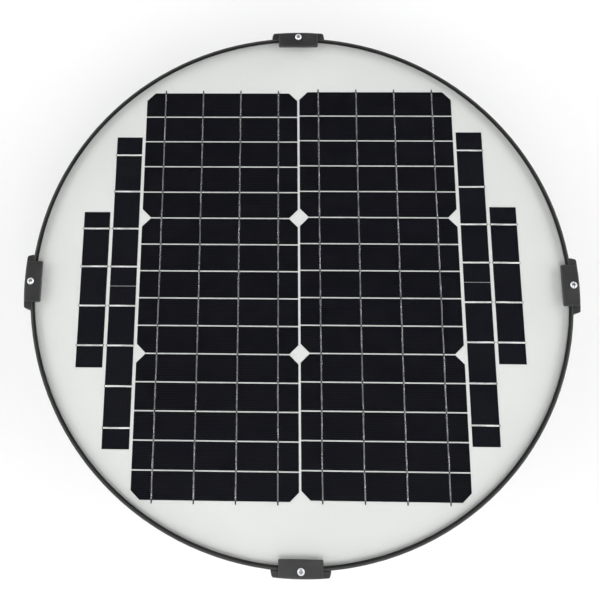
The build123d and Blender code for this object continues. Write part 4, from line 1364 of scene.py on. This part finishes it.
@dataclass
class CameraRig:
    """Camera that looks down on the panel.

    Attributes:
        place: Where it stands, in metres.
        turn: Its rotation, in radians.
        lens: Focal length, in millimetres.
        sensor: Width of its sensor, in millimetres.
        shift: Shift of the frame, in sensor widths.
        nearest: Nearest distance that it shows, in metres.
    """

    place: tuple[float, float, float] = (-0.0369, -0.1542, 0.9859)
    turn: tuple[float, float, float] = (0.2347, 0.0250, 0.0127)
    lens: float = 46.955
    sensor: float = 36.0
    shift: tuple[float, float] = (0.0991, -0.0701)
    nearest: float = 10 * MM

    def build(self) -> Piece:
        """Create the camera and make it the scene's.

        Returns:
            The camera object.
        """
        data = bpy.data.cameras.new("camera")
        data.sensor_width = self.sensor
        data.lens = self.lens
        data.shift_x, data.shift_y = self.shift
        data.clip_start = self.nearest
        camera = bpy.data.objects.new("camera", data)
        camera.location = self.place
        camera.rotation_euler = self.turn
        bpy.context.scene.collection.objects.link(camera)
        bpy.context.scene.camera = camera
        return camera


@dataclass
class Studio:
    """Pale floor and soft light from all sides, under a dim ceiling that keeps glass dark.

    Attributes:
        wall: Brightness of the light that comes from around.
        ceiling: Brightness overhead.
        fade: Heights on the unit sphere between which the wall gives way to the ceiling.
        narrowing: How much further the dim ceiling reaches down along Y than along X.
        lamp_power: Power of each lamp in the ring, in watts.
        lamp_distance: Distance of a lamp from the middle.
        lamp_height: Height of a lamp.
        lamp_size: Side of a lamp.
        angles: Where the lamps stand round the object, in degrees.
        key_power: Power of the high lamp in front, in watts.
        key_place: Where it hangs, in metres.
        middle: Point that every lamp is turned to.
        floor_colours: The two tones of the floor.
        floor_radius: Radius of the floor.
        floor_sides: Sides of its outline.
        floor_drop: How far it lies below the object, which keeps the two faces apart.
    """

    wall: float = 1.82
    ceiling: float = 0.02
    fade: tuple[float, float] = (0.60, 0.86)
    narrowing: float = 0.3
    lamp_power: float = 6.0
    lamp_distance: float = 2.1
    lamp_height: float = 1.5
    lamp_size: float = 1.2
    angles: tuple[float, ...] = (18.0, 162.0, 198.0, 342.0)
    key_power: float = 20.0
    key_place: tuple[float, float, float] = (0.0, -1.25, 2.2)
    middle: tuple[float, float, float] = (0.0, 0.0, 0.1)
    floor_colours: tuple[Colour, Colour] = (grey(0.97), grey(0.96))
    floor_radius: float = 6.0
    floor_sides: int = 96
    floor_drop: float = 0.3 * MM

    def _sky(self) -> None:
        """Light from around that fades towards the zenith."""
        world = bpy.data.worlds.new("studio")
        bpy.context.scene.world = world
        world.use_nodes = True
        world.node_tree.nodes.clear()
        graph = Graph(world.node_tree)
        parts = graph.split(graph.add("ShaderNodeTexCoord").outputs["Generated"])
        shade = graph.times(graph.maths("POWER", parts[1], 2.0), self.narrowing)
        height = graph.maths("ADD", parts[2], shade)
        strength = graph.span(height, *self.fade, self.wall, self.ceiling)
        light = {"Color": rgba(grey(1.0)), "Strength": strength}
        sky = graph.add("ShaderNodeBackground", light)
        graph.add("ShaderNodeOutputWorld", {"Surface": sky.outputs[0]})

    def _lamps(self) -> None:
        """Square lamps in a ring and a high one in front, turned to the middle."""
        hung = []
        for turn in map(math.radians, self.angles):
            level = (self.lamp_distance * math.cos(turn), self.lamp_distance * math.sin(turn))
            hung.append(((*level, self.lamp_height), self.lamp_power))
        hung.append((self.key_place, self.key_power))
        for number, (place, power) in enumerate(hung):
            data = bpy.data.lights.new(f"lamp_{number}", "AREA")
            data.shape = "SQUARE"
            data.size = self.lamp_size
            data.energy = power
            lamp = bpy.data.objects.new(f"lamp_{number}", data)
            lamp.location = place
            aim = Vector(self.middle) - lamp.location
            lamp.rotation_euler = aim.to_track_quat("-Z", "Y").to_euler()
            bpy.context.scene.collection.objects.link(lamp)

    def _floor(self) -> None:
        """Round pale floor."""
        mesh = bpy.data.meshes.new("floor")
        turns = [FULL_TURN * side / self.floor_sides for side in range(self.floor_sides)]
        radius, level = self.floor_radius, -self.floor_drop
        ring = [(radius * math.cos(turn), radius * math.sin(turn), level) for turn in turns]
        mesh.from_pydata(ring, [], [tuple(range(self.floor_sides))])
        floor = bpy.data.objects.new("floor", mesh)
        bpy.context.scene.collection.objects.link(floor)
        material = bpy.data.materials.new("floor")
        material.use_nodes = True
        graph = Graph(material.node_tree)
        shader = material.node_tree.nodes["Principled BSDF"]
        tone = graph.span(graph.noise(graph.place(), 3.0, 4.0), 0.3, 0.7)
        colours = [rgba(colour) for colour in self.floor_colours]
        graph.feed(shader.inputs["Base Color"], graph.mix(tone, *colours))
        shader.inputs["Roughness"].default_value = 0.9
        mesh.materials.append(material)

    def build(self) -> None:
        """Set the light, the floor and plain colour management."""
        self._sky()
        self._lamps()
        self._floor()
        bpy.context.scene.view_settings.view_transform = "Standard"


def main() -> None:
    """Build the scene in order and report each piece."""
    logging.basicConfig(level=logging.INFO, format="%(name)s: %(message)s")
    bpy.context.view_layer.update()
    CameraRig().build()
    Studio().build()
    LOG.info("camera and studio are up")
    palette = Palette(SharedEffects())
    LOG.info("%d finishes", len(palette.by_slot) + 2)
    dressed = CarriedParts(frame["record"]["subparts"], frame["nodes"]).dress(palette)
    LOG.info("%d CAD nodes dressed", dressed)
    for piece in SolderRibbons().build(palette):
        LOG.info("%s laid", piece.name)
    screen = WovenScreen().build(palette)
    LOG.info("screen woven, %d faces", len(screen.data.polygons))


if __name__ == "__main__":
    main()
